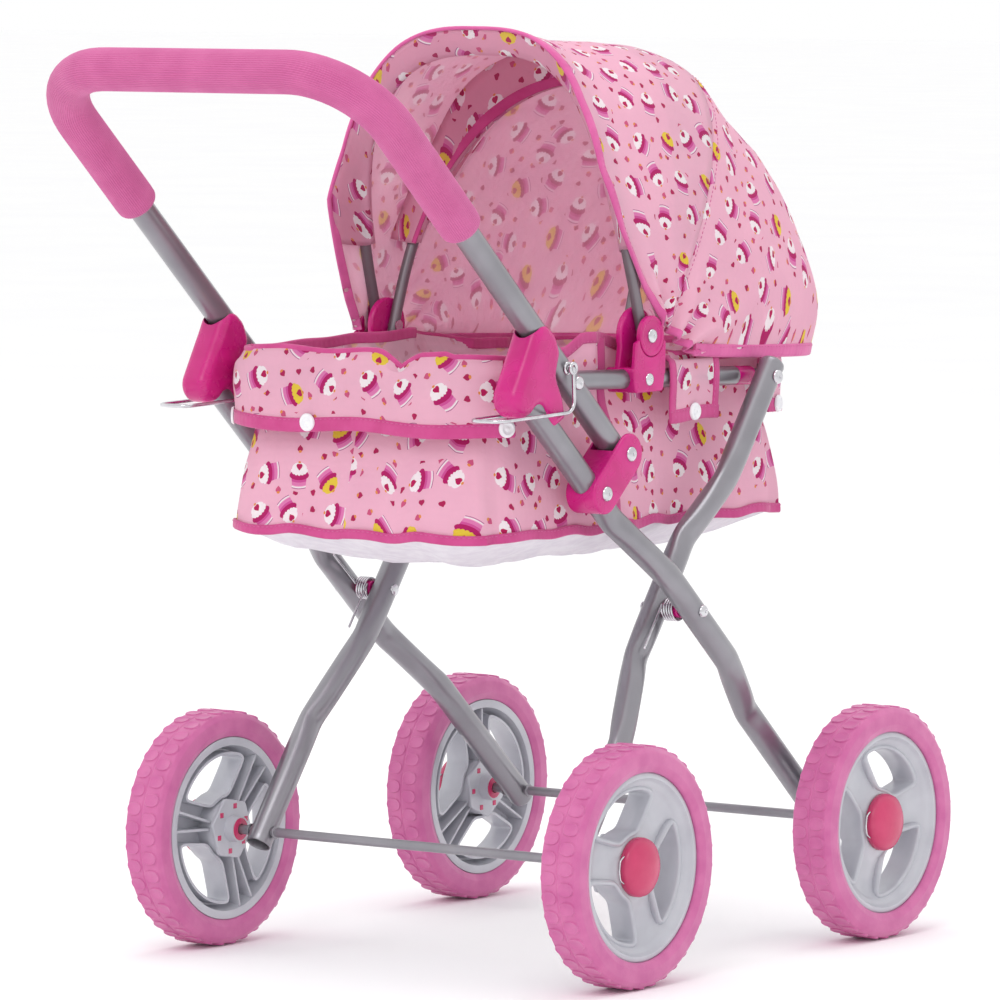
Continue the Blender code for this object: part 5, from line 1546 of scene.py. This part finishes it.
def tread_tree():
    """Geometry Nodes: two staggered rows of lugs round a wheel that turns about X."""
    tree = bpy.data.node_groups.new("tread", "GeometryNodeTree")
    sockets = {}
    tree.interface.new_socket("Geometry", in_out="INPUT", socket_type="NodeSocketGeometry")
    for label, kind in (("Count", "NodeSocketInt"), ("Radius", "NodeSocketFloat"), ("Row Offset",
                                                                                    "NodeSocketFloat"),
                        ("Foam", "NodeSocketMaterial")):
        sockets[label] = tree.interface.new_socket(label, in_out="INPUT", socket_type=kind).identifier
    tree.interface.new_socket("Geometry", in_out="OUTPUT", socket_type="NodeSocketGeometry")
    start = add(tree, "NodeGroupInput")
    index = add(tree, "GeometryNodeInputIndex")
    step = add(tree, "ShaderNodeMath", (6.283185, start.outputs["Count"]), operation="DIVIDE")
    both_rows = add(tree, "GeometryNodeJoinGeometry")
    for side, shift in ((1.0, 0.0), (-1.0, 0.5)):
        place = add(tree, "ShaderNodeMath", (index, shift), operation="ADD")
        turn = add(tree, "ShaderNodeMath", (place, step), operation="MULTIPLY")
        x = add(tree, "ShaderNodeMath", (start.outputs["Row Offset"], side), operation="MULTIPLY")
        cos = add(tree, "ShaderNodeMath", (turn,), operation="COSINE")
        sin = add(tree, "ShaderNodeMath", (turn,), operation="SINE")
        y = add(tree, "ShaderNodeMath", (sin, start.outputs["Radius"]), operation="MULTIPLY")
        minus_y = add(tree, "ShaderNodeMath", (y, -1.0), operation="MULTIPLY")
        z = add(tree, "ShaderNodeMath", (cos, start.outputs["Radius"]), operation="MULTIPLY")
        spots = add(tree, "GeometryNodePoints", {"Count": start.outputs["Count"],
                                                 "Position": add(tree, "ShaderNodeCombineXYZ", (x, minus_y,
                                                                                                z))})
        lugs = add(tree, "GeometryNodeInstanceOnPoints", {
            "Points": spots, "Instance": start.outputs["Geometry"],
            "Rotation": add(tree, "ShaderNodeCombineXYZ", (turn, 0.0, 0.0))})
        tree.links.new(lugs.outputs[0], both_rows.inputs[0])
    real = add(tree, "GeometryNodeRealizeInstances", (both_rows,))
    foam = add(tree, "GeometryNodeSetMaterial", {"Geometry": real, "Material": start.outputs["Foam"]})
    tree.links.new(foam.outputs[0], add(tree, "NodeGroupOutput").inputs[0])
    return tree, sockets


TREAD, TREAD_INPUTS = tread_tree()


def window_outline(direction):
    """(y, z) round a rounded window between two spokes, about the wheel's centre."""
    inner, outer = WINDOW_R
    corners = [*arc((0, 0), inner, WINDOW_HALF * 0.6, -WINDOW_HALF * 0.6, 4),
               *arc((0, 0), outer, -WINDOW_HALF, WINDOW_HALF, 14)]
    turn = math.radians(direction)
    return [Vector((0, y * math.cos(turn) - z * math.sin(turn), y * math.sin(turn) + z * math.cos(turn)))
            for y, z in evened(corners, 0.0016, 9)]


HUB_PROFILE = [(-0.0215, 0.0034), (-0.0215, 0.0080), (-0.0150, 0.0085), (-0.0138, 0.0085), (-0.0138, 0.0175),
               (-0.0120, 0.0182), (-0.0022, 0.0185), (-0.0022, 0.0490), (-0.0125, 0.0520), (-0.0130, 0.0550),
               (-0.0125, 0.0571), (0.0105, 0.0571), (0.0114, 0.0560), (0.0112, 0.0538), (0.0094, 0.0526),
               (0.0080, 0.0514), (0.0076, 0.0500), (0.0060, 0.0488), (0.0046, 0.0470), (0.0030, 0.0440),
               (0.0022, 0.0380), (0.0024, 0.0300), (0.0038, 0.0230), (0.0056, 0.0195), (0.0060, 0.0180),
               (0.0060, 0.0034)]


def grommet(outline):
    """The moulded wall round a window: a rounded lip in front and a deep pocket behind."""
    section = [(0.0007, -0.0108), (-0.0010, -0.0108), (-0.0013, -0.0020), (-0.0013, 0.0048), (-0.0006,
                                                                                              0.0059),
               (0.0004, 0.0063), (0.0014, 0.0058), (0.0022, 0.0044), (0.0022, 0.0018), (0.0010, -0.0005)]
    rows = []
    count = len(outline)
    for k in range(count):
        along = (outline[(k + 1) % count] - outline[k - 1]).normalized()
        away = Vector((0, along.z, -along.y))
        centre = sum(outline, Vector()) / count
        away = away if away.dot(outline[k] - centre) > 0 else -away
        rows.append([outline[k] + away * a + Vector((x, 0, 0)) for a, x in section])
    return grid_mesh(rows, wrap=True, loop=True, sharp=50)


def hexagon(radius, count=6, turn=0.0):
    return [(radius * math.cos(math.radians(turn + 360 * k / count)),
             radius * math.sin(math.radians(turn + 360 * k / count))) for k in range(count)]


def at_wheel(mesh, place, sign):
    """Moves a mesh made about the origin, outward along +X, to its wheel."""
    mesh.transform(Matrix.Translation(place) @ Matrix.Diagonal((sign, 1, 1, 1)))
    if sign < 0:
        mesh.flip_normals()
    return mesh


def window_direction(wheel):
    """The direction of a wheel's first window, from the middle of its opening in the record."""
    for opening in frame["record"]["physics"]["openings"]:
        if opening["name"] == wheel + "_window_1":
            low, high = (Vector(p) for p in opening["box_m"])
            away = (low + high) / 2 - ORIGIN - PIVOT[wheel + "_spin"]
            return math.degrees(math.atan2(away.z, away.y))
    return 90.0


WHEELS = [end + "_wheel_" + side for end in ("rear", "front") for side in SIDES]
for wheel in WHEELS:
    sign, place = SIDES[wheel[-1]], PIVOT[wheel + "_spin"]
    place = Vector((sign * TRACK / 2, place.y, place.z))
    first = window_direction(wheel)
    windows = [window_outline(first + 360 * k / SPOKES) for k in range(SPOKES)]
    body = turned(HUB_PROFILE, Vector(), 1, 96, sharp=45)
    body = carved(body, *[plate([(p.y, p.z) for p in w], -0.03, 0.03, 0.0002, 1) for w in windows])
    parts = [body] + [grommet(w) for w in windows]
    hexagonal = [(p.y, p.z) for p in rounded([(0, *p) for p in hexagon(0.0205, 6, first)], 0.003, 4,
                                             closed=True)]
    parts.append(plate(hexagonal, -0.0152, -0.0128, 0.0007))
    for k in range(SPOKES):
        # ribs behind each spoke
        for spread in (-7.0, 7.0):
            turn = math.radians(first + 60 + 360 * k / SPOKES + spread)
            along, aside = Vector((0, math.cos(turn), math.sin(turn))), Vector((0, -math.sin(turn),
                                                                                math.cos(turn)))
            corners = [along * r + aside * w for r, w in ((0.0170, -0.0008), (0.0515, -0.0008), (0.0515,
                                                                                                 0.0008),
                                                          (0.0170, 0.0008))]
            parts.append(plate([(p.y, p.z) for p in corners], -0.0118, -0.0010, 0.0003, 2))
    piece("wheel_body_" + wheel, at_wheel(joined(*parts), place, sign), wheel_plastic, wheel,
          (wheel,))

    tyre = rounded([(x, r, 0) for x, r in ((-TYRE_W / 2 + 0.0018, 0.0572), (-TYRE_W / 2, 0.0620),
                                           (-TYRE_W / 2 + 0.0004, 0.0692), (-TYRE_W / 2 + 0.0028, 0.0725),
                                           (-0.0008, TREAD_R), (0.0, TREAD_R - 0.0006), (0.0008, TREAD_R),
                                           (TYRE_W / 2 - 0.0028, 0.0725), (TYRE_W / 2 - 0.0004, 0.0692),
                                           (TYRE_W / 2, 0.0620), (TYRE_W / 2 - 0.0018, 0.0572))], 0.0022,
                                           4, closed=True)
    tyre = turned([(p.x, p.y) for p in tyre], Vector(), 1, 144, sharp=60)
    tread = grown(lug_mesh(), TREAD, TREAD_INPUTS, Count=LUGS, Radius=TREAD_R - 0.0004, Row_Offset=LUG_ROW_X,
                  Foam=tyre_foam)
    tyre_name = wheel.replace("wheel", "tyre")
    piece("foam_" + tyre_name, at_wheel(joined(tyre, tread), place, sign), tyre_foam, wheel,
          (tyre_name,))

    dome = [(0.0061, 0), (0.0061, CAP_R - 0.0006), (0.0066, CAP_R), (0.0096, CAP_R), (0.0118, CAP_R - 0.0007),
            (0.0136, CAP_R - 0.0030), (0.0150, CAP_R - 0.0064), (0.0159, CAP_R - 0.0100),
            (CAP_OUT - 0.0002, 0.0040),
            (CAP_OUT, 0.0015), (CAP_OUT, 0)]
    cap_name = wheel.replace("wheel", "cap")
    piece("domed_" + cap_name, at_wheel(turned(dome, Vector(), 1, 64, sharp=60), place, sign), cap_plastic,
          wheel,
          (cap_name,))

    bush = [(-0.0222, 0.0034), (-0.0224, 0.0058), (-0.0217, 0.0070), (-0.0205, 0.0070), (-0.0205, 0.0034)]
    red = [turned(bush, Vector(), 1, 32)]
    for y, z in hexagon(0.0142, 6, first + 30):
        red.append(plate([(y - 0.0016, z - 0.0016), (y + 0.0016, z - 0.0016), (y + 0.0016, z + 0.0016),
                          (y - 0.0016, z + 0.0016)], -0.0156, -0.0148, 0.0003, 2))
    piece("hub_clips_" + wheel, at_wheel(joined(*red), place, sign), cap_plastic, wheel)

    clip = [(0.0092, -0.0168, -0.0080), (0.0092, -0.0205, -0.0060), (0.0092, -0.0215, 0.0), (0.0092,
                                                                                             -0.0205, 0.0060),
            (0.0092, -0.0168, 0.0080)]
    wire_clip = wire(resampled(rounded(clip, 0.003), 0.0008), 0.00055, 10)
    piece("cap_spring_" + wheel, at_wheel(wire_clip, place, sign), zinc, wheel)

# ---------------------------------------------------------------- floor, light and camera
stage_mesh = bpy.data.meshes.new("studio_floor")
stage_mesh.from_pydata([(-30, -30, 0), (30, -30, 0), (30, 30, 0), (-30, 30, 0)], [], [(0, 1, 2, 3)])
studio_floor = bpy.data.objects.new("studio_floor", stage_mesh)
bpy.context.scene.collection.objects.link(studio_floor)
stage_mesh.materials.append(plain_finish("white_painted_floor", "#ffffff", "#fdfdfe", 0.9, 300, 3.0, 0.02))

world = bpy.data.worlds.new("studio")
world.use_nodes = True
world.node_tree.nodes["Background"].inputs["Color"].default_value = (1, 1, 1, 1)
world.node_tree.nodes["Background"].inputs["Strength"].default_value = 1.0
bpy.context.scene.world = world

LIGHTS = (("key_softbox", (0.6, -2.2, 2.4), 1.4, 17), ("fill_softbox", (-2.4, -1.2, 1.4), 1.8, 3),
          ("top_softbox", (0.0, 0.4, 2.8), 1.6, 14))
for name, place, size, power in LIGHTS:
    lamp = bpy.data.lights.new(name, "AREA")
    lamp.size, lamp.energy = size, power
    holder = bpy.data.objects.new(name, lamp)
    holder.location = place
    holder.rotation_euler = (Vector((0, 0, 0.3)) - Vector(place)).to_track_quat("-Z", "Y").to_euler()
    bpy.context.scene.collection.objects.link(holder)

camera_data = bpy.data.cameras.new("camera")
camera_data.lens, camera_data.sensor_width = 255.6, 36
camera = bpy.data.objects.new("camera", camera_data)
camera.location = (2.6013, -3.5114, 0.6360)
look = Vector((-0.0346, 0.0768, 0.2765)) - camera.location
camera.rotation_euler = look.to_track_quat("-Z", "Y").to_euler()
bpy.context.scene.collection.objects.link(camera)
bpy.context.scene.camera = camera
bpy.context.scene.view_settings.view_transform = "Standard"
